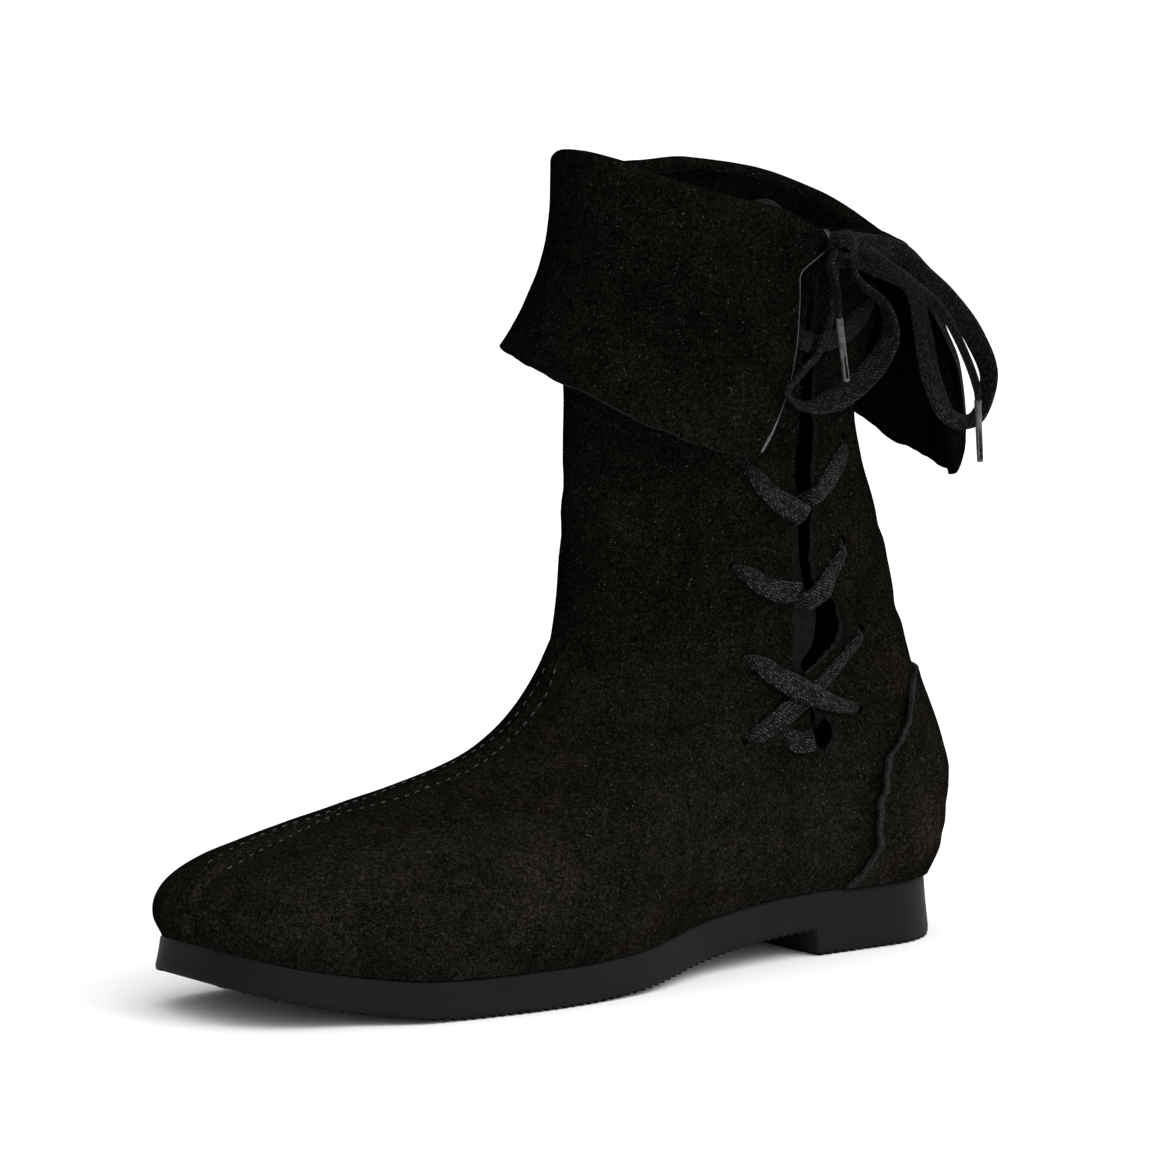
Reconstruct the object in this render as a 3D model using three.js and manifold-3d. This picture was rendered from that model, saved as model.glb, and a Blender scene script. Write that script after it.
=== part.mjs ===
// Cuffed suede boot, the left shoe of a pair, laced through a slit on its outer side. Millimetres.
// Toe towards +X, outer side of the foot towards +Y, up +Z. The origin is on the floor, under the middle
// of the heel.
import * as THREE from "three";
import { mergeVertices } from "three/addons/utils/BufferGeometryUtils.js";
import Module from "manifold-3d";

const wasm = await Module();
wasm.setup();
const { lerp, clamp, smoothstep, degToRad } = THREE.MathUtils;

// Sizes of the sole
const LENGTH = 290; // outsole, heel's back to toe's tip
const BALL_WIDTH = 101; // across the ball of the foot
const HEEL_MIDDLE = 38; // heel's back to the origin
const HEEL_LENGTH = 62; // heel's back to its front face
const HEEL_HEIGHT = 8.5; // step from the heel's tread up to the waist
const SOLE_THICKNESS = 12.7; // at the ball and over the heel
const TOE_THINNING = 1.1; // what the sole loses towards the toe's tip
const TOE_SPRING = 13; // lift of the toe's tip off the floor
const HEEL_ROUND = 30; // length of the round at the heel's back
const TOE_ROUND = 40; // length of the round at the toe
const BREAST_SLANT = 1.4; // how far the heel's front face leans
const BEVEL = 0.9; // worn lower edge of the sole

// Sizes of the leather
const COLLAR_HEIGHT = 263; // top of the shaft at the front, under the fold
const SHAFT_WIDTH = 72; // across the shaft at its slimmest
const WALL = 1.8; // suede
const INSOLE_THICKNESS = 3;
const COUNTER_WALL = 1.4; // heel overlay
const CUFF_DEPTH = 66; // fold to lower edge at the front
const FOLD_RADIUS = 3.2; // middle of the leather, round the fold
const SEAM_RISE = 1; // ridge where the two halves of the vamp are joined
const SEAM_TURN = 2.2; // half of the ridge's width, as degrees round a ring
const GAP = 0.3; // between pieces that touch

// Sizes of the lace
const LACE_WIDTH = 7.8;
const END_WIDTH = 4.6; // the lace's ends, rolled narrower towards their tips
const LACE_THICKNESS = 1.6;
const SLOT_LENGTH = 8.4;
const SLOT_WIDTH = 3.2;
const AGLET_LENGTH = 21;
const AGLET_DIAMETER = 3;

// How finely the surfaces are divided
const SIDE_COLUMNS = 30;
const UPPER_RINGS = 19;

// Rows of numbers under named columns.
function table(names, rows) {
  return rows.map((row) => Object.fromEntries(names.map((name, i) => [name, row[i]])));
}

// A smooth curve through one column of a table against another, without overshoot between rows.
function curve(rows, along, name) {
  const order = rows[0][along] < rows[rows.length - 1][along] ? rows : [...rows].reverse();
  const x = order.map((row) => row[along]);
  const y = order.map((row) => row[name]);
  const rise = x.slice(1).map((next, i) => (y[i + 1] - y[i]) / (next - x[i]));
  const slope = x.map((_, i) => {
    if (i === 0) return rise[0];
    if (i === x.length - 1) return rise[i - 1];
    const [before, after] = [rise[i - 1], rise[i]];
    return before * after <= 0 ? 0 : (2 * before * after) / (before + after);
  });
  return (at) => {
    const place = clamp(at, x[0], x[x.length - 1]);
    let i = 0;
    while (i < x.length - 2 && place > x[i + 1]) i += 1;
    const step = x[i + 1] - x[i];
    const u = (place - x[i]) / step;
    const [uu, uuu] = [u * u, u * u * u];
    return (
      (2 * uuu - 3 * uu + 1) * y[i] +
      (uuu - 2 * uu + u) * step * slope[i] +
      (3 * uu - 2 * uuu) * y[i + 1] +
      (uuu - uu) * step * slope[i + 1]
    );
  };
}

// The closed solid of a list of triangles, each three points, as a three.js geometry.
function geometryOf(triangles) {
  const made = new THREE.BufferGeometry();
  made.setAttribute("position", new THREE.Float32BufferAttribute(triangles.flat().flatMap((p) => p.toArray()), 3));
  const merged = mergeVertices(made, 1e-3);
  const index = [];
  for (let i = 0; i < merged.index.count; i += 3) {
    const [a, b, c] = [0, 1, 2].map((k) => merged.index.getX(i + k));
    if (a !== b && b !== c && c !== a) index.push(a, b, c);
  }
  merged.setIndex(index);
  return merged;
}

function solidOf(geometry) {
  const bare = geometry.clone();
  bare.deleteAttribute("normal");
  bare.deleteAttribute("uv");
  const merged = mergeVertices(bare, 1e-3);
  const mesh = new wasm.Mesh({
    numProp: 3,
    vertProperties: merged.attributes.position.array,
    triVerts: new Uint32Array(merged.index.array),
  });
  return new wasm.Manifold(mesh);
}

function geometryOfSolid(solid) {
  const mesh = solid.getMesh();
  const made = new THREE.BufferGeometry();
  made.setAttribute("position", new THREE.BufferAttribute(new Float32Array(mesh.vertProperties), 3));
  made.setIndex(new THREE.BufferAttribute(new Uint32Array(mesh.triVerts), 1));
  return made;
}

// Two triangles for the four corners of a patch, named in turn as seen from outside, parted along the
// shorter diagonal.
function quad(a, b, c, d) {
  if (b.distanceTo(d) < a.distanceTo(c)) return [[a, b, d], [b, c, d]];
  return [[a, b, c], [a, c, d]];
}

// A closed shell from two matching grids of points: outside and inside, joined along their borders.
// With round set, the last column meets the first.
function shell(outside, inside, round) {
  const faces = [];
  const rows = outside.length;
  const columns = outside[0].length;
  const last = round ? columns : columns - 1;
  for (let i = 0; i < rows - 1; i += 1) {
    for (let j = 0; j < last; j += 1) {
      const k = (j + 1) % columns;
      faces.push(...quad(outside[i][j], outside[i][k], outside[i + 1][k], outside[i + 1][j]));
      faces.push(...quad(inside[i][k], inside[i][j], inside[i + 1][j], inside[i + 1][k]));
    }
  }
  for (let j = 0; j < last; j += 1) {
    const k = (j + 1) % columns;
    faces.push(...quad(inside[0][j], inside[0][k], outside[0][k], outside[0][j]));
    faces.push(...quad(outside[rows - 1][j], outside[rows - 1][k], inside[rows - 1][k], inside[rows - 1][j]));
  }
  if (!round) {
    for (let i = 0; i < rows - 1; i += 1) {
      faces.push(...quad(inside[i][0], outside[i][0], outside[i + 1][0], inside[i + 1][0]));
      faces.push(
        ...quad(outside[i][columns - 1], inside[i][columns - 1], inside[i + 1][columns - 1], outside[i + 1][columns - 1]),
      );
    }
  }
  return geometryOf(faces);
}

// Outline of the sole. at: share of LENGTH from the heel's back. The rest: shares of BALL_WIDTH.
const OUTLINE = table(
  ["at", "mid", "outer", "inner"],
  [
    [0.0, 0.0, 0.295, 0.295],
    [0.1, 0.0, 0.295, 0.295],
    [0.22, 0.003, 0.3, 0.272],
    [0.37, 0.0, 0.35, 0.268],
    [0.52, -0.01, 0.512, 0.325],
    [0.66, -0.02, 0.56, 0.42],
    [0.79, -0.03, 0.535, 0.425],
    [0.89, -0.037, 0.425, 0.345],
    [0.96, -0.04, 0.395, 0.35],
    [1.0, -0.04, 0.385, 0.355],
  ],
);
const HEEL_POWER = 2; // a round heel
const TOE_POWER = 2.8; // a blunter toe
const outlineMid = curve(OUTLINE, "at", "mid");
const outlineHalf = { 1: curve(OUTLINE, "at", "outer"), [-1]: curve(OUTLINE, "at", "inner") };

// How far the outline has opened at a place, from 0 at its two ends to 1.
function opening(at) {
  const fromHeel = clamp((at * LENGTH) / HEEL_ROUND, 0, 1);
  const fromToe = clamp(((1 - at) * LENGTH) / TOE_ROUND, 0, 1);
  const heel = (1 - (1 - fromHeel) ** HEEL_POWER) ** (1 / HEEL_POWER);
  const toe = (1 - (1 - fromToe) ** TOE_POWER) ** (1 / TOE_POWER);
  return heel * toe;
}

const lengthwise = (at) => at * LENGTH - HEEL_MIDDLE;
const shareOf = (x) => (x + HEEL_MIDDLE) / LENGTH;

// Underside and top of the sole along its length.
const BREAST = HEEL_LENGTH / LENGTH;
const BALL_FROM = 0.6; // share of LENGTH where the forefoot meets the floor
const BALL_TO = 0.74; // and where it leaves it again
const SPRING_POWER = 1.9;

function waistLift(at) {
  const arch = HEEL_HEIGHT * (1 - smoothstep(at, BREAST, BALL_FROM));
  const toe = TOE_SPRING * clamp((at - BALL_TO) / (1 - BALL_TO), 0, 1) ** SPRING_POWER;
  return arch + toe;
}

function soleTop(at) {
  return waistLift(at) + SOLE_THICKNESS - TOE_THINNING * smoothstep(at, BALL_TO, 1);
}

// A plate with the sole's outline: stations along it, and layers from its bottom to its top.
// Each layer has grow, how far it stands out past the outline, and height, a function of the share of LENGTH
// and of whether the station is on the heel.
function plate(stations, layers) {
  const point = (layer, station, side) => {
    const at = station.at;
    const x = lengthwise(at) + layer.grow * (2 * at - 1);
    const half = outlineHalf[side](at) * BALL_WIDTH + layer.grow;
    const y = outlineMid(at) * BALL_WIDTH + side * half * opening(at);
    return new THREE.Vector3(x, y, layer.height(shareOf(x), station.heel));
  };
  const grid = layers.map((layer) =>
    stations.map((station) => ({ 1: point(layer, station, 1), [-1]: point(layer, station, -1) })),
  );
  const faces = [];
  const top = grid[grid.length - 1];
  for (let j = 0; j < stations.length - 1; j += 1) {
    faces.push(...quad(grid[0][j][1], grid[0][j + 1][1], grid[0][j + 1][-1], grid[0][j][-1]));
    faces.push(...quad(top[j][-1], top[j + 1][-1], top[j + 1][1], top[j][1]));
    for (let i = 0; i < grid.length - 1; i += 1) {
      const [low, high] = [grid[i], grid[i + 1]];
      faces.push(...quad(low[j][-1], low[j + 1][-1], high[j + 1][-1], high[j][-1]));
      faces.push(...quad(low[j + 1][1], low[j][1], high[j][1], high[j + 1][1]));
    }
  }
  return geometryOf(faces);
}

// Stations along the sole, close together at the round ends, with a pair at the heel's front face.
function soleStations(heelCount, frontCount, step) {
  const stations = [];
  for (let i = 0; i <= heelCount; i += 1) {
    stations.push({ at: BREAST * (1 - Math.cos((i / heelCount) * (Math.PI / 2))), heel: true });
  }
  for (let i = 0; i <= frontCount; i += 1) {
    const share = Math.sin((i / frontCount) * (Math.PI / 2));
    stations.push({ at: lerp(BREAST + step / LENGTH, 1, share), heel: false });
  }
  return stations;
}

function makeOutsole() {
  const under = (at, heel) => (heel ? 0 : waistLift(at));
  const rise = (share) => (at, heel) => lerp(under(at, heel), soleTop(at), share);
  const lowerEdge = (at, heel) => under(at, heel) + BEVEL;
  const layers = [
    { grow: -BEVEL, height: under },
    { grow: 0, height: lowerEdge },
    { grow: -0.8, height: rise(0.55) },
    { grow: -1.3, height: rise(0.93) },
    { grow: -2.2, height: rise(1) },
  ];
  return plate(soleStations(12, 26, BREAST_SLANT), layers);
}

// Rings of the upper from the sole's edge to the collar. up: order of the rings. toe and heel: front and
// back end of the ring, shares of LENGTH from the heel's back. toeUp and heelUp: their heights, shares of
// COLLAR_HEIGHT. swell: how far the ring stands out past the sole's outline, share of BALL_WIDTH.
// shaft: 0 follows the foot, 1 follows the shaft's oval. outer and inner: the oval's half widths, shares of
// SHAFT_WIDTH.
const RINGS = table(
  ["up", "toe", "toeUp", "heel", "heelUp", "swell", "shaft", "outer", "inner"],
  [
    [0, 0.9941, 0.079, 0.009, 0.081, -0.017, 0, 0.53, 0.5],
    [1, 1.0017, 0.103, -0.004, 0.114, 0.012, 0, 0.53, 0.5],
    [2, 0.9948, 0.133, -0.0106, 0.152, 0.03, 0, 0.53, 0.5],
    [3, 0.9724, 0.167, -0.012, 0.19, 0.042, 0, 0.53, 0.5],
    [4, 0.931, 0.194, -0.0106, 0.22, 0.047, 0, 0.53, 0.5],
    [5, 0.8655, 0.214, -0.0056, 0.247, 0.047, 0.02, 0.53, 0.5],
    [6, 0.786, 0.231, 0.0013, 0.274, 0.044, 0.06, 0.53, 0.5],
    [7, 0.7034, 0.25, 0.0095, 0.3, 0.04, 0.13, 0.53, 0.5],
    [8, 0.631, 0.272, 0.0185, 0.331, 0.036, 0.25, 0.53, 0.5],
    [9, 0.574, 0.302, 0.028, 0.369, 0.034, 0.41, 0.52, 0.5],
    [10, 0.535, 0.344, 0.0405, 0.411, 0.034, 0.6, 0.51, 0.495],
    [11, 0.509, 0.396, 0.049, 0.4525, 0.034, 0.79, 0.5, 0.49],
    [12, 0.492, 0.462, 0.06, 0.498, 0.034, 0.93, 0.49, 0.485],
    [13, 0.482, 0.545, 0.076, 0.555, 0.034, 1, 0.48, 0.48],
    [14, 0.478, 0.64, 0.096, 0.616, 0.034, 1, 0.475, 0.475],
    [15, 0.4776, 0.741, 0.11, 0.684, 0.034, 1, 0.485, 0.485],
    [16, 0.4776, 0.829, 0.0966, 0.757, 0.034, 1, 0.5, 0.5],
    [17, 0.474, 0.92, 0.0759, 0.825, 0.034, 1, 0.515, 0.515],
    [18, 0.4655, 1.0, 0.058, 0.89, 0.034, 1, 0.525, 0.525],
  ],
);
const ring = Object.fromEntries(
  ["toe", "toeUp", "heel", "heelUp", "swell", "shaft", "outer", "inner"].map((name) => [name, curve(RINGS, "up", name)]),
);
const TOP_RING = RINGS[RINGS.length - 1].up;
const WIDEST_RING = 1; // the ring that reaches furthest forward
const INSTEP_RING = 10; // from here the shaft takes over from the foot's dome
const DOME_RISE = 2.3; // powers of the forefoot's domed section
const DOME_SPREAD = 2;
const OVAL_POWER = 2.1; // the shaft's oval
const FEATHER_FADE = 5; // rings over which the sole's own curve fades out of the upper

// How the collar's edge rises and dips round the shaft. lift: share of COLLAR_HEIGHT.
const COLLAR_WAVE = table(
  ["turn", "lift"],
  [
    [-180, -0.008],
    [-149, 0.032],
    [-124, 0.046],
    [-101, 0.04],
    [-81, 0.02],
    [-60, 0.005],
    [0, 0.0035],
    [20, -0.0015],
    [40, -0.013],
    [60, -0.0195],
    [80, -0.0215],
    [97, -0.036],
    [106, -0.028],
    [125, -0.02],
    [155, -0.021],
    [180, -0.008],
  ],
);
const collarLift = curve(COLLAR_WAVE, "turn", "lift");
const WAVE_FROM = 13; // the ring where the wave begins

// Height of a ring at a share of the way from its front to its back.
function ringHeight(up, along, at, turn) {
  const wave = collarLift(turn) * smoothstep(up, WAVE_FROM, TOP_RING);
  const own = (lerp(ring.toeUp(up), ring.heelUp(up), along) + wave) * COLLAR_HEIGHT;
  const first = lerp(ring.toeUp(0), ring.heelUp(0), along) * COLLAR_HEIGHT;
  return own + (soleTop(at) + GAP - first) * (1 - smoothstep(up, 0, FEATHER_FADE));
}

// Behind the instep the foot's dome goes on under the shaft. at: share of LENGTH. up: share of COLLAR_HEIGHT.
const CREST = table(
  ["at", "up"],
  [
    [0.2, 0.66],
    [0.33, 0.58],
    [0.39, 0.522],
    [0.44, 0.466],
    [0.49, 0.402],
    [0.535, 0.344],
  ],
);
const crestUp = curve(CREST, "at", "up");

// Height of the dome's crest at a share of LENGTH. In front of the instep it is the front of the ring that
// begins there.
function crestHeight(at) {
  if (at < ring.toe(INSTEP_RING)) return crestUp(at) * COLLAR_HEIGHT;
  let [low, high] = [WIDEST_RING, INSTEP_RING];
  for (let i = 0; i < 24; i += 1) {
    const up = (low + high) / 2;
    if (ring.toe(up) > at) low = up;
    else high = up;
  }
  return ringHeight(low, 0, ring.toe(low), 0);
}

// The panel behind the slit is tucked in at the top, where the lace pulls it under the front panel.
const TUCK = 6;
const TUCK_FROM = 14.5; // ring
const TUCK_TURNS = [96, 102, 140]; // begins at the slit, is full just behind it and fades out
function tuck(up, turn) {
  const near = smoothstep(turn, TUCK_TURNS[0], TUCK_TURNS[1]) * (1 - smoothstep(turn, TUCK_TURNS[1], TUCK_TURNS[2]));
  return TUCK * smoothstep(up, TUCK_FROM, TOP_RING) * near;
}

// Outer surface of the upper. up: ring. turn: degrees round it, 0 at the toe, 90 on the outer side, 180 at
// the heel, negative on the inner side.
function upperSurface(up, turnAsked, tucked = true) {
  const turn = turnAsked > 180 ? turnAsked - 360 : turnAsked < -180 ? turnAsked + 360 : turnAsked;
  const along = (1 - Math.cos(degToRad(turn))) / 2;
  const side = Math.sin(degToRad(turn)) < 0 ? -1 : 1;
  const at = lerp(ring.toe(up), ring.heel(up), along);
  const z = ringHeight(up, along, at, turn);
  const toeShift = 1 - ring.toe(Math.min(up, WIDEST_RING));
  const place = clamp(at - ring.heel(up) * smoothstep(along, 0.45, 1) + toeShift * (1 - smoothstep(along, 0, 0.3)), 0, 1);
  let foot = (outlineHalf[side](place) + ring.swell(up)) * BALL_WIDTH * opening(place);
  if (up > WIDEST_RING) {
    const base = ringHeight(WIDEST_RING, along, at, turn);
    const dome = clamp((z - base) / (crestHeight(at) - base), 0, 1);
    foot *= (1 - dome ** DOME_RISE) ** (1 / DOME_SPREAD);
  }
  const oval = (1 - Math.abs(2 * along - 1) ** OVAL_POWER) ** (1 / OVAL_POWER);
  const shaftHalf = (side > 0 ? ring.outer(up) : ring.inner(up)) * SHAFT_WIDTH * oval;
  const blend = ring.shaft(up);
  const mid = outlineMid(place) * BALL_WIDTH * (1 - blend);
  const y = mid + side * lerp(foot, shaftHalf, blend) - (tucked ? tuck(up, turn) : 0);
  return new THREE.Vector3(lengthwise(at), y, z);
}

// Outward direction of the upper, square to its surface. At its lower and upper edge it is level.
const PROBE_RING = 0.05;
const PROBE_TURN = 1.5;
function upperNormal(up, turn, tucked = true) {
  const low = Math.max(up - PROBE_RING, 0);
  const high = Math.min(up + PROBE_RING, TOP_RING);
  const rise = upperSurface(high, turn, tucked).sub(upperSurface(low, turn, tucked));
  const [before, after] = [turn - PROBE_TURN, turn + PROBE_TURN];
  const round = upperSurface(up, after, tucked).sub(upperSurface(up, before, tucked));
  const normal = new THREE.Vector3().crossVectors(round, rise);
  if (up < PROBE_RING || up > TOP_RING - PROBE_RING) normal.z = 0;
  return normal.normalize();
}

// A point of the upper, raised by a distance off its outer surface.
function upperPoint(up, turn, raise) {
  const point = upperSurface(up, turn).addScaledVector(upperNormal(up, turn), raise);
  if (up === 0) point.z = soleTop(shareOf(point.x)) + GAP;
  return point;
}

const SEAM_FADE = { toe: [0, 1.5], shin: [10, 13] }; // rings over which the ridge rises and fades

function makeUpperShell() {
  const turns = [];
  for (let j = 0; j < 2 * SIDE_COLUMNS; j += 1) turns.push(-180 + (j * 180) / SIDE_COLUMNS);
  turns.splice(SIDE_COLUMNS, 1, -SEAM_TURN, 0, SEAM_TURN);
  const grids = [[], []];
  for (let i = 0; i <= UPPER_RINGS; i += 1) {
    const up = TOP_RING * (i / UPPER_RINGS) ** 1.05;
    const ridge = SEAM_RISE * smoothstep(up, ...SEAM_FADE.toe) * (1 - smoothstep(up, ...SEAM_FADE.shin));
    const seam = (turn) => (turn === 0 ? ridge : 0);
    grids[0].push(turns.map((turn) => upperPoint(up, turn, seam(turn))));
    grids[1].push(turns.map((turn) => upperPoint(up, turn, -WALL)));
  }
  return shell(grids[0], grids[1], true);
}

// The slit down the outer side. up: share of COLLAR_HEIGHT. front and back: its edges, shares of LENGTH from
// the heel's back.
const SLIT = table(
  ["up", "front", "back"],
  [
    [0.247, 0.238, 0.236],
    [0.31, 0.24, 0.233],
    [0.36, 0.252, 0.245],
    [0.38, 0.263, 0.224],
    [0.4, 0.265, 0.2],
    [0.425, 0.2655, 0.193],
    [0.45, 0.2655, 0.2],
    [0.485, 0.267, 0.239],
    [0.55, 0.267, 0.238],
    [0.665, 0.26, 0.234],
    [0.76, 0.252, 0.234],
    [0.856, 0.241, 0.228],
    [1.1, 0.228, 0.215],
  ],
);
const SLIT_HOLE = { along: 0.219, up: 0.289, radius: 4.3 }; // round hole that ends the slit
const SLIT_DEEP = 12; // the cuts go from this distance off the middle of the boot out past its wall

// The punched slots of the lace, a pair to each row. along: share of LENGTH. up: share of COLLAR_HEIGHT.
// lean: degrees from level.
const SLOTS = table(
  ["name", "along", "up", "lean"],
  [
    ["front_1", 0.332, 0.289, -25],
    ["back_1", 0.159, 0.308, 12],
    ["front_2", 0.327, 0.392, 25],
    ["back_2", 0.152, 0.411, -50],
    ["front_3", 0.341, 0.506, 12],
    ["back_3", 0.18, 0.525, -50],
    ["front_4", 0.333, 0.635, 40],
    ["back_4", 0.17, 0.654, -45],
    ["back_5", 0.128, 0.83, -35],
  ],
);

// A flat outline in the upright plane along the boot, pushed out sideways through its outer wall.
function sideways(shape) {
  const cut = new THREE.ExtrudeGeometry(shape, { depth: SHAFT_WIDTH, bevelEnabled: false, curveSegments: 8 });
  cut.rotateX(Math.PI / 2); // the outline's height becomes +Z and its depth -Y
  cut.translate(0, SLIT_DEEP + SHAFT_WIDTH, 0);
  return solidOf(cut);
}

function slitShape() {
  const at = (row, edge) => new THREE.Vector2(lengthwise(row[edge]), row.up * COLLAR_HEIGHT);
  const down = [...SLIT].reverse().map((row) => at(row, "back"));
  return new THREE.Shape([...SLIT.map((row) => at(row, "front")), ...down]);
}

function slotShape(slot) {
  const half = (SLOT_LENGTH - SLOT_WIDTH) / 2;
  const shape = new THREE.Shape();
  shape.absarc(half, 0, SLOT_WIDTH / 2, -Math.PI / 2, Math.PI / 2);
  shape.absarc(-half, 0, SLOT_WIDTH / 2, Math.PI / 2, (3 * Math.PI) / 2);
  const placed = shape.getPoints(4).map((point) =>
    point
      .rotateAround(new THREE.Vector2(), degToRad(-slot.lean))
      .add(new THREE.Vector2(lengthwise(slot.along), slot.up * COLLAR_HEIGHT)),
  );
  return new THREE.Shape(placed);
}

function makeUpper() {
  const hole = new THREE.Shape();
  hole.absarc(lengthwise(SLIT_HOLE.along), SLIT_HOLE.up * COLLAR_HEIGHT, SLIT_HOLE.radius, 0, 2 * Math.PI);
  let upper = solidOf(makeUpperShell());
  for (const shape of [slitShape(), hole, ...SLOTS.map(slotShape)]) upper = upper.subtract(sideways(shape));
  return geometryOfSolid(upper);
}

// The footbed lies on the sole, clear of the upper's inner face.
const INSOLE_INSET = 5.5; // from the sole's outline
function makeInsole() {
  const stations = [];
  for (let i = 0; i <= 24; i += 1) stations.push({ at: (1 - Math.cos((i / 24) * Math.PI)) / 2, heel: false });
  const layers = [
    { grow: -INSOLE_INSET, height: (at) => soleTop(at) + GAP },
    { grow: -INSOLE_INSET, height: (at) => soleTop(at) + GAP + INSOLE_THICKNESS },
  ];
  return plate(stations, layers);
}

// Heel counter. up: ring of the upper. front: how far forward its edge reaches there, share of LENGTH from
// the heel's back.
const COUNTER = table(
  ["up", "front"],
  [
    [0, 0.162],
    [0.8, 0.146],
    [2, 0.136],
    [3.4, 0.135],
    [4.6, 0.128],
    [5.8, 0.11],
    [6.9, 0.094],
    [7.8, 0.075],
    [8.4, 0.058],
  ],
);
const COUNTER_COLUMNS = 14;
const COUNTER_ROWS = 9;
const COUNTER_GAP = 0.55; // between the overlay and the upper
const counterFront = curve(COUNTER, "up", "front");

function makeCounter() {
  const top = COUNTER[COUNTER.length - 1].up;
  const grids = [[], []];
  for (let i = 0; i <= COUNTER_ROWS; i += 1) {
    const up = (top * i) / COUNTER_ROWS;
    const share = (ring.toe(up) - counterFront(up)) / (ring.toe(up) - ring.heel(up));
    const reach = 180 - THREE.MathUtils.radToDeg(Math.acos(clamp(1 - 2 * share, -1, 1)));
    const turns = [];
    for (let j = 0; j <= COUNTER_COLUMNS; j += 1) turns.push(-180 - reach + (2 * reach * j) / COUNTER_COLUMNS);
    grids[0].push(turns.map((turn) => upperPoint(up, turn, COUNTER_GAP + COUNTER_WALL)));
    grids[1].push(turns.map((turn) => upperPoint(up, turn, COUNTER_GAP)));
  }
  return shell(grids[0], grids[1], false);
}

// Cuff, from the front edge of the slit round the front and the inner side to the wing behind the slit.
// turn: place on the collar, degrees. drop: fold to lower edge. stand: how far the lower edge stands out.
// slide: how far it is swung forwards along the collar (backwards where negative). These are shares of
// CUFF_DEPTH. early: share of the slide taken just below the fold. curl: power of the outward curve, over 1
// where the lower edge kicks out.
const CUFF = table(
  ["turn", "drop", "stand", "slide", "early", "curl"],
  [
    [96, 1.01, 0.06, 0.46, 0.42, 1.5],
    [80, 1.14, 0.08, 0.26, 0.2, 1.6],
    [60, 1.165, 0.14, 0.12, 0.1, 1.8],
    [40, 1.14, 0.2, 0.05, 0, 2],
    [15, 1.06, 0.25, 0, 0, 2.3],
    [-15, 0.93, 0.26, 0, 0, 2.3],
    [-45, 0.9, 0.24, 0, 0, 2],
    [-75, 0.92, 0.2, 0, 0, 1.6],
    [-110, 0.93, 0.18, 0, 0, 1.3],
    [-140, 0.95, 0.18, 0, 0, 1.1],
    [-160, 0.98, 0.2, -0.03, 0.1, 1],
    [-180, 1.05, 0.24, -0.1, 0.3, 0.95],
    [-205, 1.12, 0.2, -0.34, 0.5, 0.9],
    [-222, 1.18, 0.1, -0.56, 0.6, 0.85],
    [-228, 1.0, 0.1, -0.66, 0.6, 0.8],
    [-234, 0.62, 0.1, -0.56, 0.6, 0.8],
    [-240, 0.26, 0.1, -0.26, 0.5, 0.8],
    [-246, 0.16, 0.08, -0.08, 0.3, 0.9],
    [-258, 0.12, 0.05, 0, 0, 1],
  ],
);
const EARLY_END = 0.35; // share of the drop by which the early part of the slide is taken
const SLIDE_TURNS = -150; // from here to the wing, the slide follows the collar round the heel
const FOLD_STEPS = 3;
const DROP_STEPS = 5;
const CUFF_STEP = 180 / SIDE_COLUMNS; // its columns stand over the upper's own
const cuff = Object.fromEntries(["drop", "stand", "slide", "early", "curl"].map((name) => [name, curve(CUFF, "turn", name)]));

// Middle of the cuff's leather. down: 0 on top of the shaft's wall, 1 at the fold's outer foot, 2 at the
// lower edge.
function cuffMiddle(turn, down) {
  const base = upperSurface(TOP_RING, turn);
  const outward = upperNormal(TOP_RING, turn, false).setZ(0).normalize();
  const forward = new THREE.Vector3(outward.y, -outward.x, 0).multiplyScalar(turn > 0 || turn < SLIDE_TURNS ? 1 : -1);
  const middle = base.clone().addScaledVector(outward, FOLD_RADIUS - WALL / 2);
  middle.z += GAP;
  const angle = Math.PI * (1 - Math.min(down, 1));
  middle.addScaledVector(outward, FOLD_RADIUS * Math.cos(angle));
  middle.z += FOLD_RADIUS * Math.sin(angle);
  const hang = Math.max(down - 1, 0);
  if (hang > 0) {
    middle.addScaledVector(outward, cuff.stand(turn) * CUFF_DEPTH * hang ** cuff.curl(turn));
    const swung = lerp(hang ** (2 * cuff.curl(turn)), smoothstep(hang, 0, EARLY_END), cuff.early(turn));
    middle.addScaledVector(forward, cuff.slide(turn) * CUFF_DEPTH * swung);
    middle.z -= cuff.drop(turn) * CUFF_DEPTH * hang;
  }
  return middle;
}

function makeCuff() {
  const turns = [];
  for (let turn = CUFF[0].turn; turn >= CUFF[CUFF.length - 1].turn; turn -= CUFF_STEP) turns.push(turn);
  const downs = [];
  for (let i = 0; i <= FOLD_STEPS; i += 1) downs.push(i / FOLD_STEPS);
  for (let i = 1; i <= DROP_STEPS; i += 1) downs.push(1 + i / DROP_STEPS);
  const middles = downs.map((down) => turns.map((turn) => cuffMiddle(turn, down)));
  const grids = [[], []];
  for (let i = 0; i < downs.length; i += 1) {
    const rows = [[], []];
    for (let j = 0; j < turns.length; j += 1) {
      const above = middles[Math.max(i - 1, 0)][j];
      const below = middles[Math.min(i + 1, downs.length - 1)][j];
      const before = middles[i][Math.max(j - 1, 0)];
      const after = middles[i][Math.min(j + 1, turns.length - 1)];
      const normal = new THREE.Vector3().crossVectors(after.clone().sub(before), below.clone().sub(above));
      if (i === 0) normal.z = 0;
      normal.normalize();
      rows[0].push(middles[i][j].clone().addScaledVector(normal, WALL / 2));
      rows[1].push(middles[i][j].clone().addScaledVector(normal, -WALL / 2));
    }
    grids[0].push(rows[0]);
    grids[1].push(rows[1]);
  }
  return shell(grids[0], grids[1], false);
}

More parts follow.
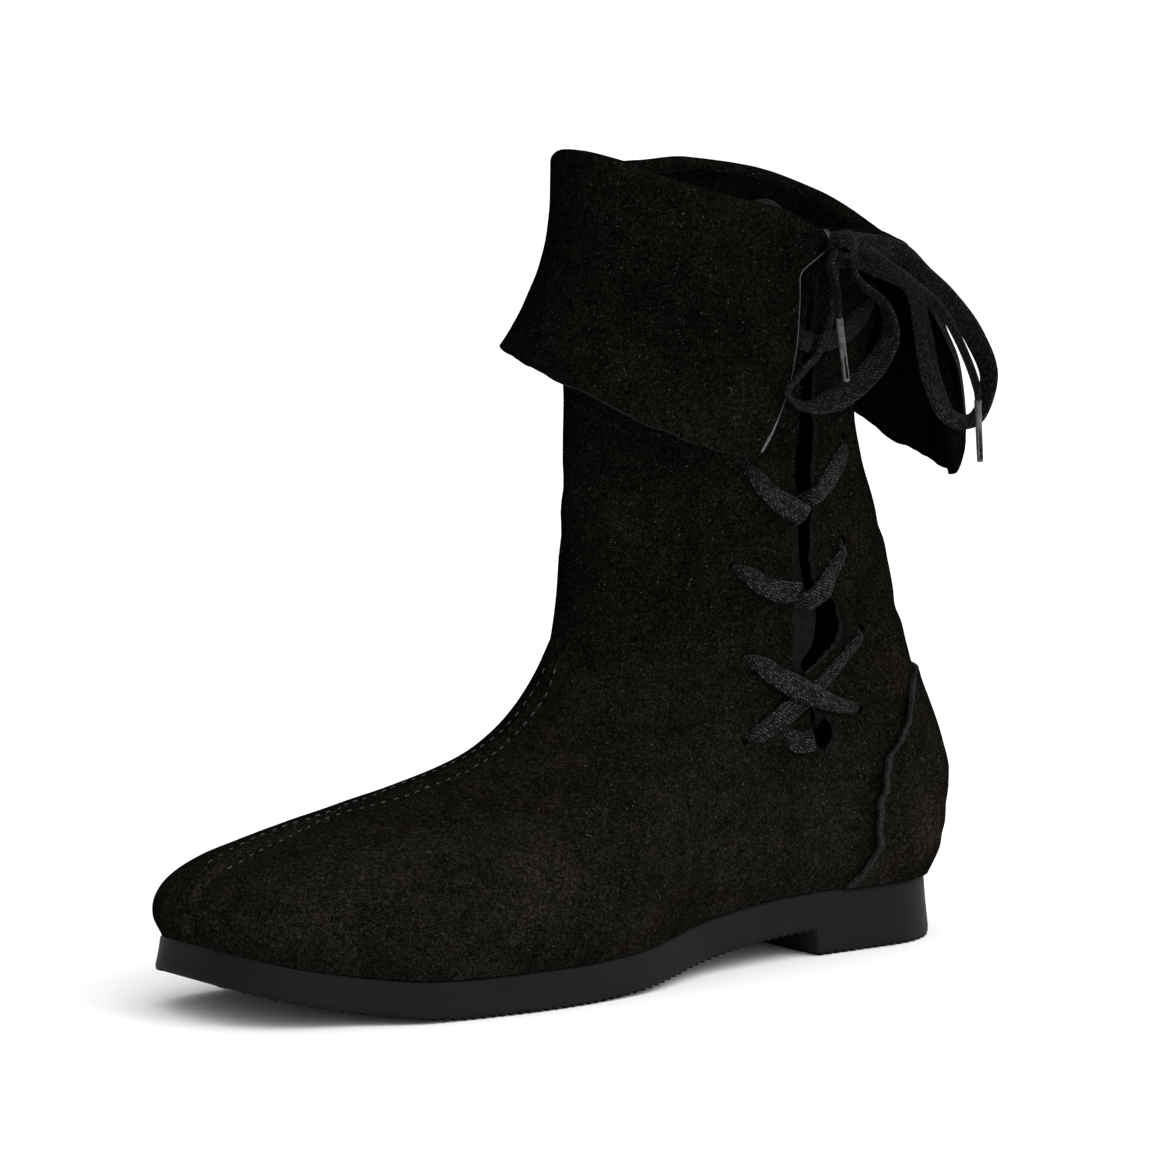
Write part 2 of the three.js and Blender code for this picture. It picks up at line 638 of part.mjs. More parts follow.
// A flat lace along its middle line, whose broad side faces the way that facings gives at each point.
function ribbon(middles, facings, width) {
  const rings = middles.map((middle, i) => {
    const before = middles[Math.max(i - 1, 0)];
    const after = middles[Math.min(i + 1, middles.length - 1)];
    const along = after.clone().sub(before).normalize();
    const across = new THREE.Vector3().crossVectors(facings[i], along).normalize();
    const face = new THREE.Vector3().crossVectors(along, across);
    const corner = (side, up) =>
      middle
        .clone()
        .addScaledVector(across, (side * width) / 2)
        .addScaledVector(face, (up * LACE_THICKNESS) / 2);
    return [corner(-1, -1), corner(1, -1), corner(1, 1), corner(-1, 1)];
  });
  const [first, last] = [rings[0], rings[rings.length - 1]];
  const faces = [...quad(first[0], first[3], first[2], first[1]), ...quad(...last)];
  for (let i = 0; i < rings.length - 1; i += 1) {
    for (let k = 0; k < 4; k += 1) {
      const next = (k + 1) % 4;
      faces.push(...quad(rings[i][k], rings[i][next], rings[i + 1][next], rings[i + 1][k]));
    }
  }
  return geometryOf(faces);
}

// Ring and turn of the place on the boot's outer side at a share of LENGTH and a height.
function outerPlace(along, height) {
  let [low, high] = [0, TOP_RING];
  let turn = 90;
  for (let i = 0; i < 24; i += 1) {
    const up = (low + high) / 2;
    const share = clamp((ring.toe(up) - along) / (ring.toe(up) - ring.heel(up)), 0, 1);
    turn = THREE.MathUtils.radToDeg(Math.acos(1 - 2 * share));
    if (upperSurface(up, turn).z < height) low = up;
    else high = up;
  }
  return { up: low, turn };
}

// One strap of a crossing, from one place on the outer side to another, over the other strap where over is set.
const STRAP_STEPS = 10;
const STRAP_GAP = 0.5; // over the leather, whose curve is coarser than the strap's
const OVER_FROM = 0.15; // share of the strap where it begins to rise over the other
function strap(from, to, over) {
  const middles = [];
  const facings = [];
  for (let i = 0; i <= STRAP_STEPS; i += 1) {
    const share = i / STRAP_STEPS;
    const place = outerPlace(lerp(from.along, to.along, share), lerp(from.up, to.up, share) * COLLAR_HEIGHT);
    const hump = smoothstep(share, OVER_FROM, 0.4) * (1 - smoothstep(share, 0.6, 1 - OVER_FROM));
    const lift = STRAP_GAP + LACE_THICKNESS / 2 + (over ? (LACE_THICKNESS - 0.2) * hump : 0);
    middles.push(upperPoint(place.up, place.turn, lift));
    facings.push(upperNormal(place.up, place.turn));
  }
  return ribbon(middles, facings, LACE_WIDTH);
}

// Where the straps of each crossing begin and end. The lowest pair crosses beside a short bar that comes out
// of the hole. The upper ones dip into the slit where they meet.
const slot = Object.fromEntries(SLOTS.map((row) => [row.name, row]));
const CROSSINGS = [
  {
    over: [slot.front_2, slot.back_1],
    under: [slot.back_2, slot.front_1],
    bar: [{ along: 0.23, up: 0.289 }, { along: 0.283, up: 0.3 }],
  },
  { over: [slot.front_3, { along: 0.25, up: 0.468 }], under: [slot.back_3, { along: 0.264, up: 0.45 }] },
  { over: [slot.front_4, { along: 0.247, up: 0.556 }], under: [slot.back_4, { along: 0.257, up: 0.575 }] },
  { over: [slot.back_5, { along: 0.235, up: 0.775 }], under: [{ along: 0.29, up: 0.81 }, { along: 0.232, up: 0.78 }] },
];
const SLOT_CLEAR = 0.05; // share of a strap that is left out beside its slots

function shortened([from, to]) {
  const between = (share) => ({ along: lerp(from.along, to.along, share), up: lerp(from.up, to.up, share) });
  return [between(SLOT_CLEAR), to.name ? between(1 - SLOT_CLEAR) : to];
}

function makeCrossing({ over, under, bar }) {
  const crossed = Boolean(over[1].name);
  let joined = solidOf(strap(...shortened(over), true));
  joined = joined.add(solidOf(strap(...shortened(under), !crossed)));
  if (bar) joined = joined.add(solidOf(strap(...bar, false)));
  return geometryOfSolid(joined);
}

// Free parts of the lace: the bow over the top of the slit. Places on their middle lines, millimetres.
const route = (rows) => table(["x", "y", "z"], rows).map((row) => new THREE.Vector3(row.x, row.y, row.z));
const LOOP_FRONT = route([
  [31, 53.2, 232.5],
  [27.8, 53.8, 226.5],
  [16.5, 53.6, 217.5],
  [13.8, 53.5, 208],
  [19.6, 53.5, 198.5],
  [36, 53.5, 188],
  [49, 53, 186.5],
  [55, 52.5, 191],
  [49, 51.5, 197],
  [41, 51.3, 204],
  [36.8, 51.3, 214],
  [35, 51.2, 226],
  [34.5, 51, 232.5],
]);
const LOOP_BACK = route([
  [25.5, 47, 238],
  [20, 45.6, 237.4],
  [2, 43, 233],
  [-9, 41, 225],
  [-21, 39, 216.5],
  [-35, 36.5, 203],
  [-42.5, 35.2, 188.5],
  [-38, 34, 175.5],
  [-27, 34.2, 176.5],
  [-18, 35.5, 190],
  [-11.5, 38.5, 207],
  [-2, 44, 222],
  [19, 49.2, 231],
  [25.5, 49.6, 233.5],
]);
const END_FRONT = route([
  [36.5, 52.6, 235.5],
  [39.6, 54.6, 231.5],
  [38.6, 56, 225],
  [37.4, 56.5, 215.2],
]);
const END_BACK = route([
  [26, 52.4, 237],
  [16, 52.4, 231],
  [1, 49.5, 222.5],
  [-13.2, 44.5, 215.1],
  [-24, 41, 204],
  [-32, 39, 192],
  [-34.6, 38.8, 185.5],
  [-34.9, 38.8, 182.5],
]);
const KNOT = { x: 30.8, y: 49.6, z: 236.5, long: 9, deep: 5, high: 7 };
const CORD_STEPS = 22; // along a loop
const END_STEPS = 9; // along an end
const BOW_FACING = new THREE.Vector3(0.15, 1, 0.1).normalize(); // the way the bow's broad side faces

function makeKnot(grow) {
  const knot = new THREE.SphereGeometry(1, 12, 8);
  knot.scale(KNOT.long + grow, KNOT.deep + grow, KNOT.high + grow);
  return knot.translate(KNOT.x, KNOT.y, KNOT.z);
}

// A cord of the bow. Its middle line begins in the knot, whose room is cut out of it.
function makeCord(middleLine, steps, width) {
  const middles = new THREE.CatmullRomCurve3(middleLine, false, "centripetal").getSpacedPoints(steps);
  const cord = solidOf(ribbon(middles, middles.map(() => BOW_FACING), width));
  return geometryOfSolid(cord.subtract(solidOf(makeKnot(GAP))));
}

// The tip on an end of the lace, in line with its last stretch.
function makeAglet(middleLine) {
  const end = middleLine[middleLine.length - 1];
  const way = end.clone().sub(middleLine[middleLine.length - 2]).normalize();
  const tip = new THREE.CylinderGeometry(AGLET_DIAMETER / 2, AGLET_DIAMETER / 2, AGLET_LENGTH, 10);
  tip.applyQuaternion(new THREE.Quaternion().setFromUnitVectors(new THREE.Vector3(0, 1, 0), way));
  const middle = end.clone().addScaledVector(way, GAP + AGLET_LENGTH / 2);
  return tip.translate(...middle.toArray());
}

const suede = new THREE.MeshStandardMaterial({ color: 0x171614, roughness: 0.95, metalness: 0 });
const rubber = new THREE.MeshStandardMaterial({ color: 0x1e1c20, roughness: 0.7, metalness: 0 });
const lining = new THREE.MeshStandardMaterial({ color: 0x2a2622, roughness: 0.9, metalness: 0 });
const braid = new THREE.MeshStandardMaterial({ color: 0x1c1b19, roughness: 0.85, metalness: 0 });
const tipped = new THREE.MeshStandardMaterial({ color: 0x2c2b2c, roughness: 0.35, metalness: 0 });

const boot = new THREE.Group();

function add(name, geometry, material) {
  const mesh = new THREE.Mesh(geometry, material);
  mesh.name = name;
  boot.add(mesh);
}

add("outsole", makeOutsole(), rubber);
add("insole", makeInsole(), lining);
add("upper", makeUpper(), suede);
add("heel_counter", makeCounter(), suede);
add("cuff", makeCuff(), suede);
CROSSINGS.forEach((crossing, i) => add(`lace_cross_${i + 1}`, makeCrossing(crossing), braid));
add("lace_knot", makeKnot(0), braid);
add("lace_loop_front", makeCord(LOOP_FRONT, CORD_STEPS, LACE_WIDTH), braid);
add("lace_loop_back", makeCord(LOOP_BACK, CORD_STEPS, LACE_WIDTH), braid);
add("lace_end_front", makeCord(END_FRONT, END_STEPS, END_WIDTH), braid);
add("lace_end_back", makeCord(END_BACK, END_STEPS, END_WIDTH), braid);
add("aglet_front", makeAglet(END_FRONT), tipped);
add("aglet_back", makeAglet(END_BACK), tipped);

export default boot;
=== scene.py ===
"""Cuffed suede boot for the left foot, laced through a slit on its outer side.

Lengths in the functions are millimetres and become metres where a mesh is made. Toe towards +X, outer side of
the foot towards +Y, up +Z.
"""

import math

import bmesh
import bpy
import numpy as np
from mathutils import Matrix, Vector


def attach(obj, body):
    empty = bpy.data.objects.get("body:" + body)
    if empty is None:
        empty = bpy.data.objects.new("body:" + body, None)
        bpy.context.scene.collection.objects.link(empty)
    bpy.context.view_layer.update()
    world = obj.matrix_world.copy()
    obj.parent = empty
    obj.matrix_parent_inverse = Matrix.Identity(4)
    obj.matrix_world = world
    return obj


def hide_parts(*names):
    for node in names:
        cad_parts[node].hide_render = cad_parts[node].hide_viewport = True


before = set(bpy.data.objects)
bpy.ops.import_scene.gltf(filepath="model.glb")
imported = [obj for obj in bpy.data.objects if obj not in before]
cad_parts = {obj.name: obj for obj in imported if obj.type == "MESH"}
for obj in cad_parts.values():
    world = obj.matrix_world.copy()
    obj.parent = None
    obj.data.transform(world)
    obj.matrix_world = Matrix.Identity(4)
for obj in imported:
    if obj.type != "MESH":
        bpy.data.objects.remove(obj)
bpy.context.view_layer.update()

MM = 0.001

# Sizes of the sole
LENGTH = 290.0
BALL_WIDTH = 101.0
HEEL_MIDDLE = 38.0
HEEL_LENGTH = 62.0
HEEL_HEIGHT = 8.5
SOLE_THICKNESS = 12.7
TOE_THINNING = 1.1
TOE_SPRING = 13.0
HEEL_ROUND = 30.0
TOE_ROUND = 40.0
BREAST_SLANT = 1.4
BEVEL = 0.9

# Sizes of the leather and the lace
COLLAR_HEIGHT = 263.0
SHAFT_WIDTH = 72.0
WALL = 1.8
COUNTER_WALL = 1.4
COUNTER_GAP = 0.55
CUFF_DEPTH = 66.0
FOLD_RADIUS = 3.2
GAP = 0.3
LACE_WIDTH = 7.8
LACE_THICKNESS = 1.6
END_WIDTH = 4.6
AGLET_LENGTH = 21.0
AGLET_DIAMETER = 3.0


def table(names, rows):
    """Rows of numbers under named columns."""
    return [dict(zip(names.split(), row)) for row in rows]


def curve(rows, along, name):
    """A smooth curve through one column of a table against another, without overshoot between rows."""
    x = np.array([row[along] for row in rows], float)
    y = np.array([row[name] for row in rows], float)
    if x[0] > x[-1]:
        x, y = x[::-1], y[::-1]
    step = np.diff(x)
    rise = np.diff(y) / step
    before, after = rise[:-1], rise[1:]
    same = before * after > 0
    inner = np.where(same, 2 * before * after / np.where(same, before + after, 1), 0)
    slope = np.concatenate([rise[:1], inner, rise[-1:]])

    def value(at):
        place = np.clip(at, x[0], x[-1])
        i = np.clip(np.searchsorted(x, place) - 1, 0, len(x) - 2)
        u = (place - x[i]) / step[i]
        start = (2 * u**3 - 3 * u**2 + 1) * y[i] + (u**3 - 2 * u**2 + u) * step[i] * slope[i]
        return start + (3 * u**2 - 2 * u**3) * y[i + 1] + (u**3 - u**2) * step[i] * slope[i + 1]

    return value


def travelled_along(points):
    """How far each point of a line is from its start, along it."""
    return np.concatenate([[0], np.cumsum(np.linalg.norm(np.diff(points, axis=0), axis=1))])


def points_at(at, travelled, points):
    return np.stack([np.interp(at, travelled, points[:, k]) for k in range(3)], axis=-1)


def smoothstep(value, low, high):
    share = np.clip((value - low) / (high - low), 0, 1)
    return share * share * (3 - 2 * share)


def mix(a, b, share):
    return a + (b - a) * share


def unit(vectors):
    return vectors / np.maximum(np.linalg.norm(vectors, axis=-1, keepdims=True), 1e-9)


# Outline of the sole. at: share of LENGTH from the heel's back. The rest: shares of BALL_WIDTH.
OUTLINE = table(
    "at mid outer inner",
    [
        (0.0, 0.0, 0.295, 0.295),
        (0.1, 0.0, 0.295, 0.295),
        (0.22, 0.003, 0.3, 0.272),
        (0.37, 0.0, 0.35, 0.268),
        (0.52, -0.01, 0.512, 0.325),
        (0.66, -0.02, 0.56, 0.42),
        (0.79, -0.03, 0.535, 0.425),
        (0.89, -0.037, 0.425, 0.345),
        (0.96, -0.04, 0.395, 0.35),
        (1.0, -0.04, 0.385, 0.355),
    ],
)
HEEL_POWER = 2.0
TOE_POWER = 2.8
outline_mid = curve(OUTLINE, "at", "mid")
outline_outer = curve(OUTLINE, "at", "outer")
outline_inner = curve(OUTLINE, "at", "inner")


def outline_half(at, side):
    return np.where(side > 0, outline_outer(at), outline_inner(at))


def opening(at):
    """How far the outline has opened at a place, from 0 at its two ends to 1."""
    from_heel = np.clip(at * LENGTH / HEEL_ROUND, 0, 1)
    from_toe = np.clip((1 - at) * LENGTH / TOE_ROUND, 0, 1)
    heel = (1 - (1 - from_heel) ** HEEL_POWER) ** (1 / HEEL_POWER)
    toe = (1 - (1 - from_toe) ** TOE_POWER) ** (1 / TOE_POWER)
    return heel * toe


def lengthwise(at):
    return at * LENGTH - HEEL_MIDDLE


def share_of(x):
    return (x + HEEL_MIDDLE) / LENGTH


# Underside and top of the sole along its length.
BREAST = HEEL_LENGTH / LENGTH
BALL_FROM = 0.6
BALL_TO = 0.74
SPRING_POWER = 1.9


def waist_lift(at):
    arch = HEEL_HEIGHT * (1 - smoothstep(at, BREAST, BALL_FROM))
    return arch + TOE_SPRING * np.clip((at - BALL_TO) / (1 - BALL_TO), 0, 1) ** SPRING_POWER


def sole_top(at):
    return waist_lift(at) + SOLE_THICKNESS - TOE_THINNING * smoothstep(at, BALL_TO, 1)


# Rings of the upper from the sole's edge to the collar. toe and heel: ends of the ring, shares of LENGTH.
# toeUp and heelUp: their heights, shares of COLLAR_HEIGHT. swell: how far it stands out past the sole, share of
# BALL_WIDTH. shaft: 0 follows the foot, 1 the shaft's oval. outer and inner: shares of SHAFT_WIDTH.
RINGS = table(
    "up toe toeUp heel heelUp swell shaft outer inner",
    [
        (0, 0.9941, 0.079, 0.009, 0.081, -0.017, 0, 0.53, 0.5),
        (1, 1.0017, 0.103, -0.004, 0.114, 0.012, 0, 0.53, 0.5),
        (2, 0.9948, 0.133, -0.0106, 0.152, 0.03, 0, 0.53, 0.5),
        (3, 0.9724, 0.167, -0.012, 0.19, 0.042, 0, 0.53, 0.5),
        (4, 0.931, 0.194, -0.0106, 0.22, 0.047, 0, 0.53, 0.5),
        (5, 0.8655, 0.214, -0.0056, 0.247, 0.047, 0.02, 0.53, 0.5),
        (6, 0.786, 0.231, 0.0013, 0.274, 0.044, 0.06, 0.53, 0.5),
        (7, 0.7034, 0.25, 0.0095, 0.3, 0.04, 0.13, 0.53, 0.5),
        (8, 0.631, 0.272, 0.0185, 0.331, 0.036, 0.25, 0.53, 0.5),
        (9, 0.574, 0.302, 0.028, 0.369, 0.034, 0.41, 0.52, 0.5),
        (10, 0.535, 0.344, 0.0405, 0.411, 0.034, 0.6, 0.51, 0.495),
        (11, 0.509, 0.396, 0.049, 0.4525, 0.034, 0.79, 0.5, 0.49),
        (12, 0.492, 0.462, 0.06, 0.498, 0.034, 0.93, 0.49, 0.485),
        (13, 0.482, 0.545, 0.076, 0.555, 0.034, 1, 0.48, 0.48),
        (14, 0.478, 0.64, 0.096, 0.616, 0.034, 1, 0.475, 0.475),
        (15, 0.4776, 0.741, 0.11, 0.684, 0.034, 1, 0.485, 0.485),
        (16, 0.4776, 0.829, 0.0966, 0.757, 0.034, 1, 0.5, 0.5),
        (17, 0.474, 0.92, 0.0759, 0.825, 0.034, 1, 0.515, 0.515),
        (18, 0.4655, 1.0, 0.058, 0.89, 0.034, 1, 0.525, 0.525),
    ],
)
ring = {name: curve(RINGS, "up", name) for name in RINGS[0] if name != "up"}
TOP_RING = 18
WIDEST_RING = 1
INSTEP_RING = 10
DOME_RISE = 2.3
DOME_SPREAD = 2
OVAL_POWER = 2.1
FEATHER_FADE = 5

# How the collar's edge rises and dips round the shaft. lift: share of COLLAR_HEIGHT.
COLLAR_WAVE = table(
    "turn lift",
    [
        (-180, -0.008),
        (-149, 0.032),
        (-124, 0.046),
        (-101, 0.04),
        (-81, 0.02),
        (-60, 0.005),
        (0, 0.0035),
        (20, -0.0015),
        (40, -0.013),
        (60, -0.0195),
        (80, -0.0215),
        (97, -0.036),
        (106, -0.028),
        (125, -0.02),
        (155, -0.021),
        (180, -0.008),
    ],
)
collar_lift = curve(COLLAR_WAVE, "turn", "lift")
WAVE_FROM = 13


def ring_height(up, along, at, turn):
    wave = collar_lift(turn) * smoothstep(up, WAVE_FROM, TOP_RING)
    own = (mix(ring["toeUp"](up), ring["heelUp"](up), along) + wave) * COLLAR_HEIGHT
    first = mix(ring["toeUp"](0), ring["heelUp"](0), along) * COLLAR_HEIGHT
    return own + (sole_top(at) + GAP - first) * (1 - smoothstep(up, 0, FEATHER_FADE))


# Behind the instep the foot's dome goes on under the shaft.
CREST = table(
    "at up",
    [(0.2, 0.66), (0.33, 0.58), (0.39, 0.522), (0.44, 0.466), (0.49, 0.402), (0.535, 0.344)],
)
crest_up = curve(CREST, "at", "up")
RIDGE_RINGS = np.linspace(INSTEP_RING, WIDEST_RING, 500)
RIDGE_AT = ring["toe"](RIDGE_RINGS)
RIDGE_HEIGHT = ring_height(RIDGE_RINGS, 0, RIDGE_AT, 0)


def crest_height(at):
    behind = crest_up(at) * COLLAR_HEIGHT
    return np.where(at < RIDGE_AT[0], behind, np.interp(at, RIDGE_AT, RIDGE_HEIGHT))


# The panel behind the slit is tucked in at the top.
TUCK = 6
TUCK_FROM = 14.5
TUCK_TURNS = (96, 102, 140)


def tuck(up, turn):
    near = smoothstep(turn, *TUCK_TURNS[:2]) * (1 - smoothstep(turn, *TUCK_TURNS[1:]))
    return TUCK * smoothstep(up, TUCK_FROM, TOP_RING) * near


def upper_surface(up, turn, tucked=True):
    """Outer surface of the upper. turn: degrees round it, 0 at the toe, 90 on the outer side."""
    turn = np.where(turn > 180, turn - 360, np.where(turn < -180, turn + 360, turn))
    along = (1 - np.cos(np.radians(turn))) / 2
    side = np.where(np.sin(np.radians(turn)) < 0, -1, 1)
    at = mix(ring["toe"](up), ring["heel"](up), along)
    z = ring_height(up, along, at, turn)
    toe_shift = 1 - ring["toe"](np.minimum(up, WIDEST_RING))
    place = at - ring["heel"](up) * smoothstep(along, 0.45, 1) + toe_shift * (1 - smoothstep(along, 0, 0.3))
    place = np.clip(place, 0, 1)
    foot = (outline_half(place, side) + ring["swell"](up)) * BALL_WIDTH * opening(place)
    base = ring_height(np.full_like(z, WIDEST_RING), along, at, turn)
    dome = np.clip((z - base) / (crest_height(at) - base), 0, 1)
    foot = np.where(up > WIDEST_RING, foot * (1 - dome**DOME_RISE) ** (1 / DOME_SPREAD), foot)
    oval = (1 - np.abs(2 * along - 1) ** OVAL_POWER) ** (1 / OVAL_POWER)
    shaft_half = np.where(side > 0, ring["outer"](up), ring["inner"](up)) * SHAFT_WIDTH * oval
    blend = ring["shaft"](up)
    y = outline_mid(place) * BALL_WIDTH * (1 - blend) + side * mix(foot, shaft_half, blend)
    if tucked:
        y = y - tuck(up, turn)
    return np.stack([lengthwise(at), y, z], axis=-1)


PROBE_RING = 0.05
PROBE_TURN = 1.5


def upper_normal(up, turn, tucked=True):
    """Outward direction of the upper, square to its surface and level at its lower and upper edge."""
    low = np.maximum(up - PROBE_RING, 0)
    high = np.minimum(up + PROBE_RING, TOP_RING)
    rise = upper_surface(high, turn, tucked) - upper_surface(low, turn, tucked)
    round_it = upper_surface(up, turn + PROBE_TURN, tucked) - upper_surface(up, turn - PROBE_TURN, tucked)
    normal = np.cross(round_it, rise)
    level = (up < PROBE_RING) | (up > TOP_RING - PROBE_RING)
    normal[..., 2] = np.where(level, 0, normal[..., 2])
    return unit(normal)


def upper_point(up, turn, raised):
    point = upper_surface(up, turn) + upper_normal(up, turn) * np.expand_dims(raised, -1)
    edge = sole_top(share_of(point[..., 0])) + GAP
    point[..., 2] = np.where(up == 0, edge, point[..., 2])
    return point


HALVINGS = 24


def outer_place(along, height):
    """Ring and turn of the place on the boot's outer side at a share of LENGTH and a height."""
    along, height = np.broadcast_arrays(np.asarray(along, float), np.asarray(height, float))
    low, high = np.zeros_like(along), np.full_like(along, TOP_RING)
    for _ in range(HALVINGS):
        up = (low + high) / 2
        share = np.clip((ring["toe"](up) - along) / (ring["toe"](up) - ring["heel"](up)), 0, 1)
        turn = np.degrees(np.arccos(1 - 2 * share))
        below = upper_surface(up, turn)[..., 2] < height
        low, high = np.where(below, up, low), np.where(below, high, up)
    return low, turn


# The slit down the outer side. up: share of COLLAR_HEIGHT. front and back: its edges, shares of LENGTH.
SLIT = table(
    "up front back",
    [
        (0.247, 0.238, 0.236),
        (0.31, 0.24, 0.233),
        (0.36, 0.252, 0.245),
        (0.38, 0.263, 0.224),
        (0.4, 0.265, 0.2),
        (0.425, 0.2655, 0.193),
        (0.45, 0.2655, 0.2),
        (0.485, 0.267, 0.239),
        (0.55, 0.267, 0.238),
        (0.665, 0.26, 0.234),
        (0.76, 0.252, 0.234),
        (0.856, 0.241, 0.228),
        (1.1, 0.228, 0.215),
    ],
)
slit_front = curve(SLIT, "up", "front")
slit_back = curve(SLIT, "up", "back")
SLIT_HOLE = {"along": 0.219, "up": 0.289, "radius": 4.3}
SLIT_DEEP = 12

# The punched slots of the lace. along: share of LENGTH. up: share of COLLAR_HEIGHT. lean: degrees from level.
SLOTS = table(
    "name along up lean",
    [
        ("front_1", 0.332, 0.289, -25),
        ("back_1", 0.159, 0.308, 12),
        ("front_2", 0.327, 0.392, 25),
        ("back_2", 0.152, 0.411, -50),
        ("front_3", 0.341, 0.506, 12),
        ("back_3", 0.18, 0.525, -50),
        ("front_4", 0.333, 0.635, 40),
        ("back_4", 0.17, 0.654, -45),
        ("back_5", 0.128, 0.83, -35),
    ],
)
slot_named = {row["name"]: row for row in SLOTS}

# Heel counter. up: ring of the upper. front: how far forward its edge reaches there, share of LENGTH.
COUNTER = table(
    "up front",
    [
        (0, 0.162),
        (0.8, 0.146),
        (2, 0.136),
        (3.4, 0.135),
        (4.6, 0.128),
        (5.8, 0.11),
        (6.9, 0.094),
        (7.8, 0.075),
        (8.4, 0.058),
    ],
)
counter_front = curve(COUNTER, "up", "front")

# Cuff. turn: place on the collar. drop, stand and slide of its lower edge: shares of CUFF_DEPTH.
CUFF = table(
    "turn drop stand slide early curl",
    [
        (96, 1.01, 0.06, 0.46, 0.42, 1.5),
        (80, 1.14, 0.08, 0.26, 0.2, 1.6),
        (60, 1.165, 0.14, 0.12, 0.1, 1.8),
        (40, 1.14, 0.2, 0.05, 0, 2),
        (15, 1.06, 0.25, 0, 0, 2.3),
        (-15, 0.93, 0.26, 0, 0, 2.3),
        (-45, 0.9, 0.24, 0, 0, 2),
        (-75, 0.92, 0.2, 0, 0, 1.6),
        (-110, 0.93, 0.18, 0, 0, 1.3),
        (-140, 0.95, 0.18, 0, 0, 1.1),
        (-160, 0.98, 0.2, -0.03, 0.1, 1),
        (-180, 1.05, 0.24, -0.1, 0.3, 0.95),
        (-205, 1.12, 0.2, -0.34, 0.5, 0.9),
        (-222, 1.18, 0.1, -0.56, 0.6, 0.85),
        (-228, 1.0, 0.1, -0.66, 0.6, 0.8),
        (-234, 0.62, 0.1, -0.56, 0.6, 0.8),
        (-240, 0.26, 0.1, -0.26, 0.5, 0.8),
        (-246, 0.16, 0.08, -0.08, 0.3, 0.9),
        (-258, 0.12, 0.05, 0, 0, 1),
    ],
)
EARLY_END = 0.35
FLAP_EARLY_END = 0.16
FLAP_TURN = 50
SLIDE_TURNS = -150
cuff = {name: curve(CUFF, "turn", name) for name in CUFF[0] if name != "turn"}


def cuff_middle(turn, down):
    """Middle of the cuff's leather. down: 0 on the shaft's wall, 1 at the fold's outer foot, 2 at the edge."""
    top = np.full_like(turn, TOP_RING)
    outward = upper_normal(top, turn, False)
    outward[..., 2] = 0
    outward = unit(outward)
    way = np.where((turn > 0) | (turn < SLIDE_TURNS), 1.0, -1.0)
    forward = np.stack([outward[..., 1] * way, -outward[..., 0] * way, np.zeros_like(turn)], axis=-1)
    angle = np.pi * (1 - np.minimum(down, 1))
    hang = np.maximum(down - 1, 0)
    curl = cuff["curl"](turn)
    flare = cuff["stand"](turn) * CUFF_DEPTH * hang**curl
    out = FOLD_RADIUS - WALL / 2 + FOLD_RADIUS * np.cos(angle) + flare
    early_end = np.where(turn > FLAP_TURN, FLAP_EARLY_END, EARLY_END)
    swung = mix(hang ** (2 * curl), smoothstep(hang, 0, early_end), cuff["early"](turn))
    ahead = cuff["slide"](turn) * CUFF_DEPTH * swung
    middle = upper_surface(top, turn) + outward * out[..., None] + forward * ahead[..., None]
    middle[..., 2] += GAP + FOLD_RADIUS * np.sin(angle) - cuff["drop"](turn) * CUFF_DEPTH * hang
    return middle


# Noise, the same in every run
def noise(points, scale, seed):
    """Smooth values from -1 to 1 over points in millimetres, as sums of a few waves."""
    pick = np.random.default_rng(seed)
    total = np.zeros(points.shape[:-1])
    for _ in range(7):
        way = unit(pick.normal(size=3))
        length = scale * pick.uniform(0.7, 1.6)
        total += np.sin(points @ way * (2 * math.pi / length) + pick.uniform(0, 2 * math.pi))
    return total / 4


# Meshes
class Joined:
    """Points, faces and lace map of one mesh, put together from several shapes."""

    def __init__(self):
        self.points, self.faces, self.uv = [], [], []

    def add(self, points, faces, uv=()):
        self.faces += [[k + len(self.points) for k in face] for face in faces]
        self.points += np.asarray(points).tolist()
        self.uv += np.asarray(uv).tolist()


def tube_faces(rings, sides, ends=True):
    """Faces of a tube whose points come ring by ring."""
    number = np.arange(rings * sides).reshape(rings, sides)
    following = np.roll(number, -1, axis=1)
    faces = np.stack([number[:-1], following[:-1], following[1:], number[1:]], axis=-1).reshape(-1, 4).tolist()
    if ends:
        faces += [number[0, ::-1].tolist(), number[-1].tolist()]
    return faces


def mesh_object(name, points, faces, materials, kinds=None, uv=None, sharp=40):
    """An object from points in millimetres. kinds: material number of each face. uv: a pair for each point."""
    mesh = bpy.data.meshes.new(name)
    mesh.from_pydata([tuple(p) for p in np.asarray(points) * MM], [], [tuple(f) for f in faces])
    for material in materials:
        mesh.materials.append(material)
    if kinds is not None:
        mesh.polygons.foreach_set("material_index", np.asarray(kinds, np.int32))
    mesh.polygons.foreach_set("use_smooth", np.ones(len(faces), bool))
    if uv is not None:
        layer = mesh.uv_layers.new(name="lace")
        corners = np.empty(len(mesh.loops), np.int32)
        mesh.loops.foreach_get("vertex_index", corners)
        layer.data.foreach_set("uv", np.asarray(uv, float)[corners].ravel())
    mesh.set_sharp_from_angle(angle=math.radians(sharp))
    mesh.update()
    made = bpy.data.objects.new(name, mesh)
    bpy.context.scene.collection.objects.link(made)
    return made


